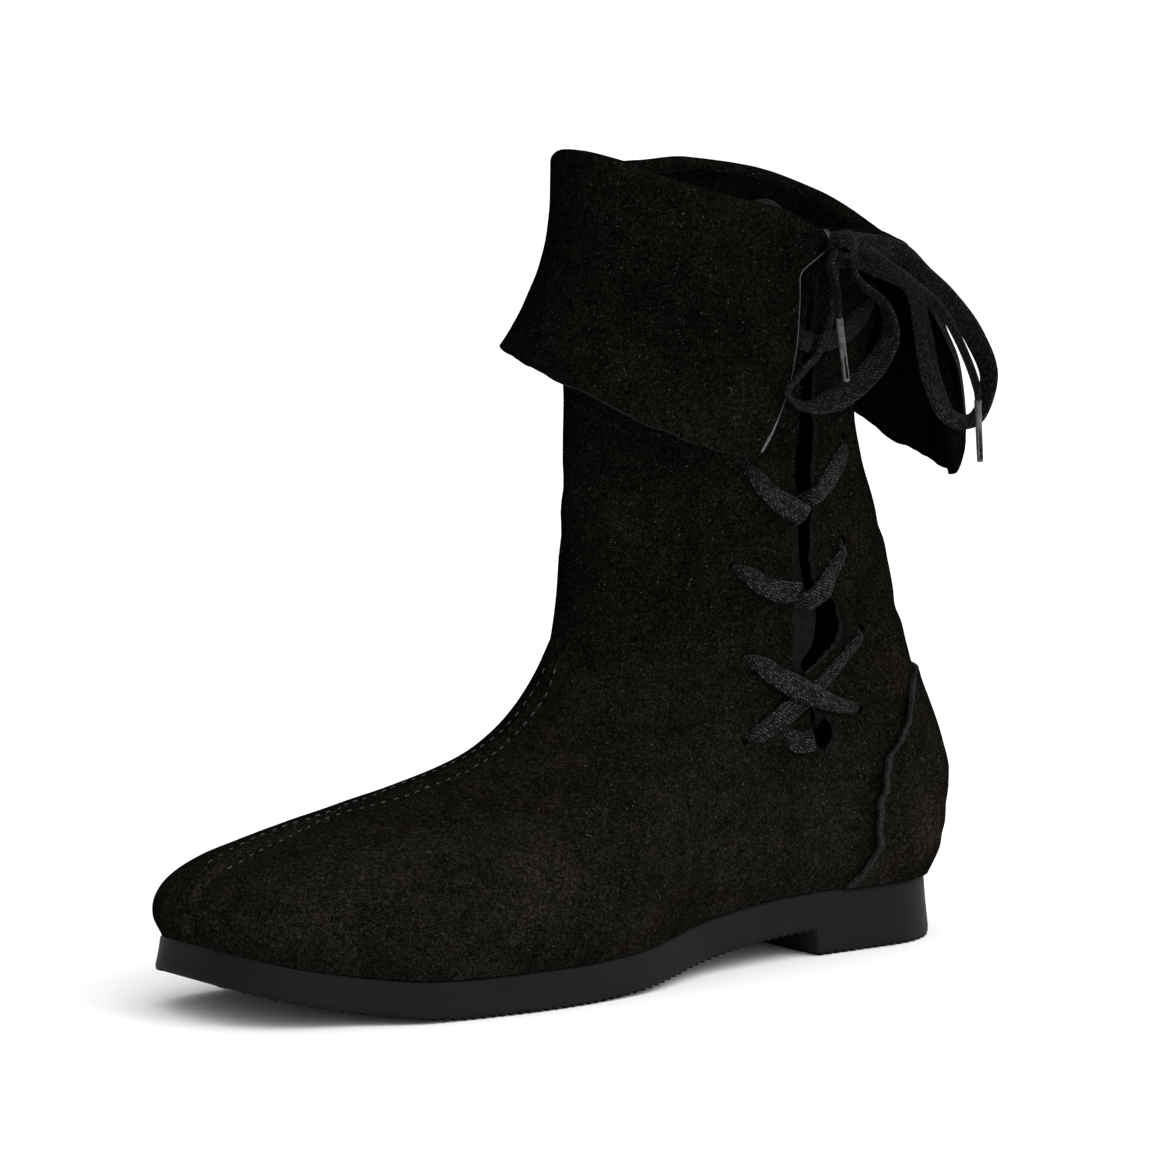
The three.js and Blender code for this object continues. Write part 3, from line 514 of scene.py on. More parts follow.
def shell(outside, inside, closed):
    """A shell between two grids: points, faces and kinds. 0 is outside, 2 inside, 1 and 3 are cut edges."""
    rows, columns = outside.shape[:2]
    points = np.concatenate([outside.reshape(-1, 3), inside.reshape(-1, 3)])
    number = np.arange(rows * columns).reshape(rows, columns)
    other = number + rows * columns
    if closed:
        number = np.concatenate([number, number[:, :1]], axis=1)
        other = np.concatenate([other, other[:, :1]], axis=1)

    def patch(a, b, c, d):
        return np.stack([a, b, c, d], axis=-1).reshape(-1, 4)

    parts = [
        (patch(number[:-1, :-1], number[:-1, 1:], number[1:, 1:], number[1:, :-1]), 0),
        (patch(other[:-1, 1:], other[:-1, :-1], other[1:, :-1], other[1:, 1:]), 2),
        (patch(other[0, :-1], other[0, 1:], number[0, 1:], number[0, :-1]), 1),
        (patch(number[-1, :-1], number[-1, 1:], other[-1, 1:], other[-1, :-1]), 1),
    ]
    if not closed:
        parts.append((patch(other[:-1, 0], number[:-1, 0], number[1:, 0], other[1:, 0]), 3))
        parts.append((patch(number[:-1, -1], other[:-1, -1], other[1:, -1], number[1:, -1]), 3))
    faces = np.concatenate([part for part, _ in parts])
    kinds = np.concatenate([np.full(len(part), kind) for part, kind in parts])
    return points, faces, kinds


# Materials
def node_adder(tree):
    """A function that adds a node to a tree, with its settings and links."""

    def add(kind, links_in=None, **settings):
        node = tree.nodes.new(kind)
        for key, value in settings.items():
            if hasattr(node, key):
                setattr(node, key, value)
            else:
                node.inputs[key.replace("_", " ")].default_value = value
        for socket, source in (links_in or {}).items():
            tree.links.new(source, node.inputs[socket])
        return node

    return add


def shader(name):
    """A new material, a function that adds nodes to it, and its coordinates on the boot in metres."""
    material = bpy.data.materials.new(name)
    material.use_nodes = True
    add = node_adder(material.node_tree)
    return material, add, add("ShaderNodeTexCoord").outputs["Object"]


def dress(material, add, color, height, strength, distance, rough, specular):
    """Gives a material its colour, bump, roughness and reflection. rough: a number or a node's output."""
    bsdf = material.node_tree.nodes["Principled BSDF"]
    raised = add("ShaderNodeBump", {"Height": height}, Strength=strength, Distance=distance)
    material.node_tree.links.new(color, bsdf.inputs["Base Color"])
    material.node_tree.links.new(raised.outputs["Normal"], bsdf.inputs["Normal"])
    if isinstance(rough, float):
        bsdf.inputs["Roughness"].default_value = rough
    else:
        material.node_tree.links.new(rough, bsdf.inputs["Roughness"])
    bsdf.inputs["Specular IOR Level"].default_value = specular
    return material


def grey(value, warm=1.0, cool=1.0):
    return (value * warm, value, value * cool, 1)


def ramp(add, source, stops):
    node = add("ShaderNodeValToRGB", {"Fac": source})
    elements = node.color_ramp.elements
    while len(elements) < len(stops):
        elements.new(0.5)
    for element, (place, color) in zip(elements, stops):
        element.position = place
        element.color = color
    return node.outputs["Color"]


def times(add, color, other):
    """One colour multiplied by another."""
    return add("ShaderNodeVectorMath", {0: color, 1: other}, operation="MULTIPLY").outputs["Vector"]


def speckle(add, place, scale, detail, rough, distortion=0.0):
    """Uneven values from 0 to 1 all over the boot."""
    settings = {"Scale": scale, "Detail": detail, "Roughness": rough, "Distortion": distortion}
    return add("ShaderNodeTexNoise", {"Vector": place}, **settings).outputs["Fac"]


def fade(add, value, low, high, start, end):
    """Goes smoothly from start to end while a value goes from low to high."""
    settings = {"From_Min": low, "From_Max": high, "To_Min": start, "To_Max": end}
    node = add("ShaderNodeMapRange", {"Value": value}, interpolation_type="SMOOTHSTEP", **settings)
    return node.outputs["Result"]


def measured(add, operation, vector, fixed):
    """The distance, or the dot product, of a vector and a fixed one."""
    node = add("ShaderNodeVectorMath", {0: vector}, operation=operation)
    node.inputs[1].default_value = fixed
    return node.outputs["Value"]


# Painted shade: the suede is darkened higher up the shaft and under the cuff, and on faces turned away from the
# lit outer side.
SHADE_HEIGHTS = [(0.045, 0.115, 0.64), (0.16, 0.215, 0.76)]
SHADE_WAY = (0.35, 0.9, 0.25)
SHADE_TURNS = (-0.45, 0.75, 0.36, 1.12)
NAP_MATTED = 0.45
DUST = grey(0.07, 1.0, 0.97)
DUST_FROM = 0.7
DUST_FULL = 0.78


def rubbed_place(x, z, radius, gain):
    """A paler rubbed patch on the outer side, placed in the side view."""
    return tuple(upper_surface(*outer_place(share_of(x), z)) * MM), radius * MM, gain


SCUFFS = [rubbed_place(-20, 40, 17, 1.75), rubbed_place(150, 44, 30, 1.3), rubbed_place(60, 40, 34, 1.25)]


def suede_material(name, dark, middle, light, flecks=0.5):
    """Brushed leather: matted fibres, a cloudy nap, pale dust caught in it, and painted shade higher up and on
    faces turned from the light.
    """
    material, add, place = shader(name)
    fibre = speckle(add, place, 2100, 2, 0.6, 0.5)
    matted = speckle(add, place, 780, 3, 0.65, 0.8)
    height = add("ShaderNodeMix", {2: fibre, 3: matted}, data_type="FLOAT")
    height.inputs[0].default_value = NAP_MATTED
    nap = ramp(add, height.outputs[0], [(0.36, dark), (0.5, middle), (0.64, light)])
    cloud = speckle(add, place, 34, 5, 0.6)
    patch = speckle(add, place, 150, 4, 0.6)
    worn = ramp(add, cloud, [(0.3, grey(0.74)), (0.5, grey(0.96)), (0.72, grey(1.28))])
    mottled = ramp(add, patch, [(0.3, grey(0.7)), (0.7, grey(1.3))])
    nap = times(add, times(add, nap, worn), mottled)
    height_up = add("ShaderNodeSeparateXYZ", {"Vector": place}).outputs["Z"]
    # Painted shade, darker higher up the shaft and under the cuff
    for low, high, least in SHADE_HEIGHTS:
        nap = times(add, nap, fade(add, height_up, low, high, 1, least))
    for spot, radius, gain in SCUFFS:
        nap = times(add, nap, fade(add, measured(add, "DISTANCE", place, spot), 0, radius, gain, 1))
    # Painted shade on faces turned towards the inner side, away from the light
    facing = add("ShaderNodeNewGeometry").outputs["Normal"]
    nap = times(add, nap, fade(add, measured(add, "DOT_PRODUCT", facing, SHADE_WAY), *SHADE_TURNS))
    dust = speckle(add, place, 1250, 1, 0.5)
    caught = add("ShaderNodeMapRange", {"Value": dust}, From_Min=DUST_FROM, From_Max=DUST_FULL, To_Max=flecks)
    dusted = add("ShaderNodeMix", {"Factor": caught.outputs["Result"]}, data_type="RGBA")
    dusted.inputs[7].default_value = DUST
    material.node_tree.links.new(nap, dusted.inputs[6])
    return dress(material, add, dusted.outputs[2], height.outputs[0], 0.5, 0.0007, 1.0, 0.0)


def rubber_material(name):
    material, add, place = shader(name)
    cloud = speckle(add, place, 60, 5, 0.6)
    color = ramp(add, cloud, [(0.3, (0.0041, 0.0037, 0.0046, 1)), (0.75, (0.0062, 0.0056, 0.0068, 1))])
    rough = ramp(add, cloud, [(0.3, grey(0.5)), (0.8, grey(0.68))])
    return dress(material, add, color, speckle(add, place, 900, 4, 0.6), 0.15, 0.0004, rough, 0.07)


PLAIT_LONG = 1.25
PLAIT_WIDE = 0.85
PLAIT_SWELL = 1.55
PLAIT_UNEVEN = 0.42
BRAID_DARKER_UP = (0.15, 0.2, 1.0, 0.4)


def braid_material(name, dark, middle, light):
    """Flat braid whose plaits show as small uneven lozenges. The lace map holds millimetres."""
    material, add, place = shader(name)
    uv = add("ShaderNodeUVMap", uv_map="lace").outputs["UV"]
    split = add("ShaderNodeSeparateXYZ", {"Vector": uv})

    def calc(operation, a, b):
        node = add("ShaderNodeMath", operation=operation)
        for i, value in enumerate([a, b]):
            if isinstance(value, (int, float)):
                node.inputs[i].default_value = value
            else:
                material.node_tree.links.new(value, node.inputs[i])
        return node.outputs[0]

    wander = speckle(add, place, 420, 1, 0.5)
    across = calc("MULTIPLY", split.outputs["Y"], 1 / PLAIT_WIDE)
    run = calc("ADD", calc("MULTIPLY", split.outputs["X"], 1 / PLAIT_LONG), calc("MULTIPLY", across, 0.5))
    run = calc("ADD", run, calc("MULTIPLY", wander, 0.5))
    woven = add("ShaderNodeCombineXYZ", {"X": run, "Y": across}).outputs["Vector"]
    settings = {"voronoi_dimensions": "2D", "Scale": 1.0, "Randomness": PLAIT_UNEVEN}
    cells = add("ShaderNodeTexVoronoi", {"Vector": woven}, **settings)
    rounded = calc("POWER", calc("MULTIPLY", cells.outputs["Distance"], PLAIT_SWELL), 2)
    plait = calc("MAXIMUM", calc("SUBTRACT", 1, rounded), 0)
    own = add("ShaderNodeSeparateXYZ", {"Vector": cells.outputs["Color"]}).outputs["X"]
    own = calc("ADD", calc("MULTIPLY", own, 0.55), 0.4)
    yarn = calc("MULTIPLY", speckle(add, place, 2600, 2, 0.6), 0.3)
    mixed = calc("ADD", calc("MULTIPLY", plait, own), yarn)
    shade = ramp(add, mixed, [(0.32, dark), (0.64, middle), (0.95, light)])
    height_up = add("ShaderNodeSeparateXYZ", {"Vector": place}).outputs["Z"]
    # The braid's colour is darker higher up
    shade = times(add, shade, fade(add, height_up, *BRAID_DARKER_UP))
    return dress(material, add, shade, mixed, 0.8, 0.0008, 0.75, 0.07)


def plain_material(name, low, high, scale, rough, bump, distance, specular=0.2):
    """One colour that wavers between two shades, with a fine bump of the same grain."""
    material, add, place = shader(name)
    grain = speckle(add, place, scale, 5, 0.65)
    color = ramp(add, grain, [(0.3, low), (0.7, high)])
    return dress(material, add, color, grain, bump, distance, rough, specular)


suede = suede_material("suede", grey(0.0008, 1.2, 0.7), grey(0.0039, 1.16, 0.74), grey(0.0142, 1.11, 0.84))
inner_suede = suede_material(
    "inner_suede", grey(0.0008, 1.12, 0.8), grey(0.0026, 1.1, 0.84), grey(0.0075, 1.05, 0.9), 0.2
)
rubber = rubber_material("rubber")
braid = braid_material("braid", grey(0.0007, 1.05, 0.95), grey(0.005, 1.05, 0.95), grey(0.042, 1.03, 0.97))
raw_edge = plain_material("raw_edge", grey(0.004, 1.0, 1.0), grey(0.026, 0.99, 1.03), 700, 0.95, 0.6, 0.0006, 0)
# A lighter copy of the raw edge: painted highlight where cut edges catch the light
highlit_edge = plain_material("highlit_edge", grey(0.03, 0.98, 1.04), grey(0.15, 0.98, 1.06), 900, 0.95, 0.6, 0.0005, 0)
clear_tip = plain_material("clear_tip", grey(0.006, 1, 1), grey(0.09, 1, 1.02), 420, 0.3, 0.1, 0.0003, 0.3)
lining = plain_material("lining", grey(0.012, 1.1, 0.85), grey(0.03, 1.1, 0.85), 500, 0.9, 0.4, 0.0004)
thread = plain_material("thread", grey(0.008, 1, 1), grey(0.08, 1, 1), 700, 0.8, 0.3, 0.0002, 0.1)
facing_leather = plain_material(
    "facing", grey(0.0022, 0.97, 1.12), grey(0.0062, 0.97, 1.12), 260, 0.8, 0.3, 0.0004, 0.05
)


# Camera at the photograph's angle. It stands a little to one side of the boot and is turned towards it.
VIEW_TURN = math.radians(55.5)
VIEW_LIFT = math.radians(7.6)
VIEW_FAR = 2400.0
STAND_ACROSS = -143.0
STAND_UP = 123.5
AIM_ACROSS = -79.0
AIM_UP = 119.0
VIEW_LENS = 221.54

upward = np.array([0.0, 0.0, 1.0])
ahead = np.array([math.cos(VIEW_TURN), math.sin(VIEW_TURN), 0.0])
away = ahead * math.cos(VIEW_LIFT) + upward * math.sin(VIEW_LIFT)
right = np.array([-math.sin(VIEW_TURN), math.cos(VIEW_TURN), 0.0])
stand = right * STAND_ACROSS + upward * STAND_UP + away * VIEW_FAR
aim = right * AIM_ACROSS + upward * AIM_UP
camera = bpy.data.objects.new("camera", bpy.data.cameras.new("camera"))
camera.data.sensor_width = 36
camera.data.lens = VIEW_LENS
camera.data.clip_end = 100
camera.location = Vector(stand * MM)
camera.rotation_euler = Vector((aim - stand) * MM).to_track_quat("-Z", "Y").to_euler()
bpy.context.scene.collection.objects.link(camera)
bpy.context.scene.camera = camera


LACE_ROUND = 3.4
LACE_CUP = 0.12
LACE_SQUEEZE = 0.55


def ribbon(middles, facings, width, thickness=None):
    """A flat lace with soft edges along its middle line. Where it is drawn narrower it grows thicker."""
    middles = np.asarray(middles, float)
    facings = np.broadcast_to(np.asarray(facings, float), middles.shape)
    width = np.broadcast_to(np.asarray(width, float), len(middles))
    if thickness is None:
        thickness = LACE_THICKNESS * (LACE_WIDTH / width) ** LACE_SQUEEZE
    thickness = np.broadcast_to(np.asarray(thickness, float), len(middles))
    along = unit(np.gradient(middles, axis=0))
    across = unit(np.cross(facings, along))
    face = np.cross(along, across)
    steps = np.sin(np.linspace(-math.pi / 2, math.pi / 2, 13))
    rise = np.sqrt(np.maximum(1 - np.abs(steps) ** LACE_ROUND, 0))
    outline = np.array(list(zip(steps, rise)) + list(zip(steps[::-1][1:-1], -rise[::-1][1:-1])))
    cup = -LACE_CUP * (outline[:, 0] ** 2 - 0.4)
    points = (
        middles[:, None]
        + across[:, None] * (outline[None, :, 0] * width[:, None] / 2)[..., None]
        + face[:, None] * (outline[None, :, 1] * thickness[:, None] / 2 + cup * thickness[:, None])[..., None]
    )
    run = np.broadcast_to(travelled_along(middles)[:, None], points.shape[:2])
    beside = np.broadcast_to(outline[None, :, 0] * LACE_WIDTH / 2, points.shape[:2])
    uv = np.stack([run, beside], axis=-1).reshape(-1, 2)
    return points.reshape(-1, 3), tube_faces(*points.shape[:2]), uv


def turned_facing(middles, angles):
    """Facings of a lace that shows its broad side to the front at angle 0 and its edge at 90."""
    along = unit(np.gradient(middles, axis=0))
    side = unit(np.cross(along, away))
    turn = np.radians(angles)[:, None]
    return np.cos(turn) * away + np.sin(turn) * side


def between(t, low, high, start, finish):
    """The place at t on the straight way from start, at low, to finish, at high."""
    return ((high - t) * start + (t - low) * finish) / (high - low)


def spline(route, step=1.2):
    """Evenly spaced places on a smooth centripetal curve through a route."""
    route = np.asarray(route, float)
    ends = np.concatenate([[2 * route[0] - route[1]], route, [2 * route[-1] - route[-2]]])
    fine = []
    for i in range(len(route) - 1):
        p = ends[i : i + 4]
        apart = np.linalg.norm(np.diff(p, axis=0), axis=1)
        knots = np.concatenate([[0], np.cumsum(np.sqrt(apart))])
        t = np.linspace(knots[1], knots[2], 24, endpoint=False)[:, None]
        a = [between(t, knots[k], knots[k + 1], p[k], p[k + 1]) for k in range(3)]
        b = [between(t, knots[k], knots[k + 2], a[k], a[k + 1]) for k in range(2)]
        fine.append(between(t, knots[1], knots[2], b[0], b[1]))
    fine = np.concatenate(fine + [route[-1:]])
    travelled = travelled_along(fine)
    even = np.linspace(0, travelled[-1], max(int(travelled[-1] / step), 8))
    return points_at(even, travelled, fine)


# The bow over the top of the slit
LOOP_FRONT = [
    (31, 53.2, 232.5),
    (27.8, 53.8, 226.5),
    (16.5, 53.6, 217.5),
    (13.8, 53.5, 208),
    (19.6, 53.5, 198.5),
    (36, 53.5, 188),
    (49, 53, 186.5),
    (55, 52.5, 191),
    (49, 51.5, 197),
    (41, 51.3, 204),
    (36.8, 51.3, 214),
    (35, 51.2, 226),
    (34.5, 51, 232.5),
]
LOOP_BACK = [
    (25.5, 47, 238),
    (20, 45.6, 237.4),
    (2, 43, 233),
    (-9, 41, 225),
    (-21, 39, 216.5),
    (-35, 36.5, 203),
    (-42.5, 35.2, 188.5),
    (-38, 34, 175.5),
    (-27, 34.2, 176.5),
    (-18, 35.5, 190),
    (-11.5, 38.5, 207),
    (-2, 44, 222),
    (19, 49.2, 231),
    (25.5, 49.6, 233.5),
]
END_FRONT = [(36.5, 52.6, 235.5), (39.6, 54.6, 231.5), (38.6, 56, 225), (37.4, 56.5, 215.2)]
END_BACK = [
    (26, 52.4, 237),
    (16, 52.4, 231),
    (1, 49.5, 222.5),
    (-13.2, 44.5, 215.1),
    (-24, 41, 204),
    (-32, 39, 192),
    (-34.6, 38.8, 185.5),
    (-34.9, 38.8, 182.5),
]
KNOT = {"middle": np.array([30.8, 49.6, 236.5]), "half": np.array([7.0, 4.4, 5.8])}

# How each cord of the bow lies. share: part of its length. wide: its width. angle: 0 broad side to the front.
LOOP_FRONT_LIE = table(
    "share wide angle",
    [
        (0, 5.0, 74),
        (0.1, 5.5, 70),
        (0.2, 6.6, 50),
        (0.28, 7.6, 20),
        (0.36, 8.0, 6),
        (0.46, 8.0, 10),
        (0.52, 7.6, 34),
        (0.58, 6.6, 62),
        (0.66, 6.0, 76),
        (0.85, 6.0, 74),
        (1, 5.2, 72),
    ],
)
LOOP_BACK_LIE = table(
    "share wide angle",
    [
        (0, 6.4, 0),
        (0.12, 7.6, 10),
        (0.25, 7.8, 16),
        (0.4, 7.6, 28),
        (0.5, 7.0, 48),
        (0.58, 7.2, 30),
        (0.68, 7.6, 24),
        (0.8, 7.4, 32),
        (0.92, 7.2, 15),
        (1, 6.2, 0),
    ],
)
END_FRONT_LIE = table("share wide angle", [(0, 4.4, 62), (0.5, 4.6, 64), (1, 4.2, 60)])
END_BACK_LIE = table("share wide angle", [(0, 4.6, 10), (0.3, 4.6, 20), (0.6, 4.6, 58), (1, 4.2, 62)])


AGLET_SLIM = 0.8
AGLET_SIDES = 20
# Along the tip: place in millimetres, and share of its full size there
AGLET_STATIONS = [
    (0, 0.72),
    (0.15, 1.0),
    (1.2, 1.02),
    (2.2, 0.97),
    (9, 0.96),
    (15, 0.93),
    (20, 0.9),
    (20.8, 0.8),
    (21, 0.5),
]


def aglet(name, route):
    """The tip of an end: a crimped sleeve of film, a little wider at its upper rim."""
    way = unit(route[-1] - route[-2])
    side = unit(np.cross(way, away))
    face = np.cross(side, way)
    turns = 2 * math.pi * np.arange(AGLET_SIDES) / AGLET_SIDES
    overlap = 1 + 0.08 * (np.arange(AGLET_SIDES) == 4) - 0.04 * (np.arange(AGLET_SIDES) == 5)
    radius = AGLET_SLIM * AGLET_DIAMETER / 2 * overlap
    section = side * (np.cos(turns) * radius)[:, None] + face * (np.sin(turns) * radius * 0.85)[:, None]
    rings = [route[-1] + way * (place + GAP) + section * size for place, size in AGLET_STATIONS]
    points = np.concatenate(rings)
    return mesh_object(name, points, tube_faces(len(AGLET_STATIONS), AGLET_SIDES), [clear_tip], sharp=50)


def place_piece(piece, slot, *nodes):
    """Every piece rides on the one body. nodes: the solids it stands for."""
    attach(piece, "root")
    if nodes:
        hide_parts(*nodes)
    return piece


def cord_piece(name, route, lie, diameter, tip=None):
    """A cord of the bow. It begins just inside the knot, and one with a tip runs on into it."""
    middles = spline(route)
    outside = np.sum(((middles - KNOT["middle"]) / (KNOT["half"] - 1.2)) ** 2, axis=1) > 1
    middles = middles[np.argmax(outside) : len(middles) - np.argmax(outside[::-1])]
    share = np.linspace(0, 1, len(middles))
    width = curve(lie, "share", "wide")(share)
    angles = curve(lie, "share", "angle")(share)
    facings = turned_facing(middles, angles)
    thickness = LACE_THICKNESS * (diameter / width) ** LACE_SQUEEZE
    if tip:
        way = unit(middles[-1] - middles[-2])
        inner = np.linspace(1.2, AGLET_LENGTH - 0.8, 16)
        middles = np.concatenate([middles, middles[-1] + way * inner[:, None]])
        width[-4:] = (4.0, 3.4, 2.8, 2.3)
        width = np.concatenate([width, np.full(len(inner), 2.0)])
        thickness = np.concatenate([thickness, np.full(len(inner), 1.4)])
        facings = np.concatenate([facings, np.repeat(facings[-1:], len(inner), axis=0)])
    points, faces, uv = ribbon(middles, facings, width, thickness)
    piece = mesh_object(name.replace("lace_", "cord_"), points, faces, [braid], uv=uv)
    place_piece(piece, "lace", name)


tip_front = place_piece(aglet("tip_front", spline(END_FRONT)), "lace_tip", "aglet_front")
tip_back = place_piece(aglet("tip_back", spline(END_BACK)), "lace_tip", "aglet_back")
cord_piece("lace_loop_front", LOOP_FRONT, LOOP_FRONT_LIE, LACE_WIDTH)
cord_piece("lace_loop_back", LOOP_BACK, LOOP_BACK_LIE, LACE_WIDTH)
cord_piece("lace_end_front", END_FRONT, END_FRONT_LIE, END_WIDTH, tip_front)
cord_piece("lace_end_back", END_BACK, END_BACK_LIE, END_WIDTH, tip_back)


# Outsole
TREAD_PITCH = 3.4
TREAD_DEEP = 1.1
SOLE_STEP = 0.56
HEEL_FINE = 8
TOE_FINE = 12
# Side of the sole from its lower edge up: share of its height, and how far it stands past the outline
SOLE_SIDE = [
    (0.02, 0.0),
    (0.1, 0.05),
    (0.2, -0.15),
    (0.35, -0.45),
    (0.55, -0.8),
    (0.75, -1.1),
    (0.9, -1.3),
    (0.96, -1.5),
    (1.0, -2.2),
]


def under_sole(at, heel):
    return np.where(heel, 0, waist_lift(at))


def tread(x):
    """Depth of the tread's fine grooves across the sole, 0 on a rib and 1 in a groove."""
    phase = (x / TREAD_PITCH) % 1
    return smoothstep(np.abs(phase - 0.5) * 2, 0.25, 0.6)


def sole_stations():
    """Shares of LENGTH from heel to toe, closer together at both ends, and which of them are on the heel."""
    step = SOLE_STEP / LENGTH
    plain = np.arange(0, BREAST, step)
    rounded = BREAST * (1 - np.cos(np.linspace(0, 0.9, 24))) * 0.9
    heel_at = np.unique(np.concatenate([rounded, plain[plain > HEEL_FINE / LENGTH], [BREAST]]))
    front_at = np.arange(BREAST + BREAST_SLANT / LENGTH, 1 - TOE_FINE / LENGTH, step)
    toe_at = 1 - (TOE_FINE / LENGTH) * (1 - np.sin(np.linspace(0, math.pi / 2, 50)))
    front_at = np.unique(np.concatenate([front_at, toe_at]))
    at = np.concatenate([heel_at, front_at])
    return at, np.arange(len(at)) < len(heel_at)


def make_outsole():
    at, heel = sole_stations()
    under = under_sole(at, heel)
    top = sole_top(at)
    groove = tread(lengthwise(at)) * TREAD_DEEP

    def row(grow, height, side):
        x = lengthwise(at) + grow * (2 * at - 1)
        half = outline_half(at, side) * BALL_WIDTH + grow
        y = outline_mid(at) * BALL_WIDTH + side * half * opening(at)
        return np.stack([x, y, height], axis=-1)

    heights = [(-BEVEL - 0.6, under + groove), (-0.2, under + groove * 0.95 + 0.25)]
    heights += [(grow, mix(under + BEVEL * (1 - share), top, share)) for share, grow in SOLE_SIDE]
    points = np.concatenate([row(grow, height, side) for grow, height in heights for side in (1, -1)])
    number = np.arange(len(points)).reshape(len(heights), 2, len(at))
    faces = []

    def patch(a, b, c, d):
        faces.extend(np.stack([a, b, c, d], axis=-1).reshape(-1, 4).tolist())

    low, high = number[0], number[-1]
    patch(low[0, :-1], low[0, 1:], low[1, 1:], low[1, :-1])
    patch(high[1, :-1], high[1, 1:], high[0, 1:], high[0, :-1])
    for lower, upper in zip(number[:-1], number[1:]):
        patch(lower[1, :-1], lower[1, 1:], upper[1, 1:], upper[1, :-1])
        patch(lower[0, 1:], lower[0, :-1], upper[0, :-1], upper[0, 1:])
    for lower, upper in zip(number[:-1], number[1:]):
        patch(lower[0, 0], lower[1, 0], upper[1, 0], upper[0, 0])
        patch(lower[1, -1], lower[0, -1], upper[0, -1], upper[1, -1])
    piece = mesh_object("sole_unit", points, faces, [rubber], sharp=35)
    clean(piece)
    place_piece(piece, "rubber", "outsole")


def clean(piece, merge=0.00002):
    """Points that fall together become one, and faces without area go."""
    work = bmesh.new()
    work.from_mesh(piece.data)
    bmesh.ops.remove_doubles(work, verts=work.verts, dist=merge)
    bmesh.ops.dissolve_degenerate(work, edges=work.edges, dist=merge / 2)
    bmesh.ops.recalc_face_normals(work, faces=work.faces)
    work.to_mesh(piece.data)
    work.free()


make_outsole()


# Upper
UPPER_ROWS = 118
UPPER_COLUMNS = 288
HOLE_RADIUS = 5.4
HOLE_X = lengthwise(SLIT_HOLE["along"]) + 0.3
HOLE_Z = SLIT_HOLE["up"] * COLLAR_HEIGHT - 0.9
SLOT_HALF = 2.4
SLOT_TALL = 3.0
BRIGHT_ABOVE = 92
TORN_TURN = math.radians(262)


# Relief of the upper: heights, depths and widths in millimetres
SEAM_HIGH, SEAM_HALF, SEAM_DEEP = 0.55, 4.4, 0.6
TOE_DEEPER, TOE_FOLD_HIGH, TOE_FOLD_ASIDE, TOE_FOLD_HALF = 1.5, 1.3, 2.6, 1.3
LIP_HIGH, LIP_WIDE = 1.5, 2.6
SLOT_PULL, SLOT_PULL_WIDE = 0.8, 4.2
PUCKER_HIGH, PUCKER_FROM, PUCKER_HALF = 0.9, 6.2, 1.8


def near_line(x, z, line, width):
    """How close places in the side view are to a line, from 1 on it to 0 away from it."""
    best = np.full(np.shape(x), 1e9)
    for (x0, z0), (x1, z1) in zip(line[:-1], line[1:]):
        dx, dz = x1 - x0, z1 - z0
        share = np.clip(((x - x0) * dx + (z - z0) * dz) / (dx * dx + dz * dz), 0, 1)
        best = np.minimum(best, np.hypot(x - x0 - share * dx, z - z0 - share * dz))
    return np.exp(-((best / width) ** 2))


def slit_distance(x, z):
    """Distance in the side view from the slit's edges, 0 inside it."""
    up = np.clip(z / COLLAR_HEIGHT, SLIT[0]["up"], 1.1)
    front, back = lengthwise(slit_front(up)), lengthwise(slit_back(up))
    beside = np.maximum(np.maximum(x - front, back - x), 0)
    below = np.maximum(SLIT[0]["up"] * COLLAR_HEIGHT - z, 0)
    return np.hypot(beside, below)


CREASES = table(
    "deep width line",
    [
        (0.8, 4.5, [(70, 84), (84, 92), (96, 108)]),
        (0.55, 4.0, [(58, 100), (74, 108), (88, 124)]),
        (0.6, 5.0, [(18, 58), (40, 54), (64, 60)]),
        (0.5, 5.5, [(30, 42), (58, 40), (86, 48)]),
        (0.5, 5.0, [(-6, 58), (-16, 66), (-26, 68)]),
        (0.6, 4.0, [(-8, 104), (-20, 112), (-30, 112)]),
        (0.45, 4.0, [(-6, 134), (-14, 140), (-24, 140)]),
        (0.5, 5.0, [(118, 62), (128, 46), (134, 30)]),
        (0.45, 4.5, [(140, 56), (150, 44), (156, 30)]),
        (0.35, 4.0, [(168, 48), (174, 38), (178, 28)]),
        (0.5, 5.0, [(72, 150), (84, 158), (98, 158)]),
        (0.4, 5.0, [(64, 130), (78, 138), (96, 142)]),
    ],
)


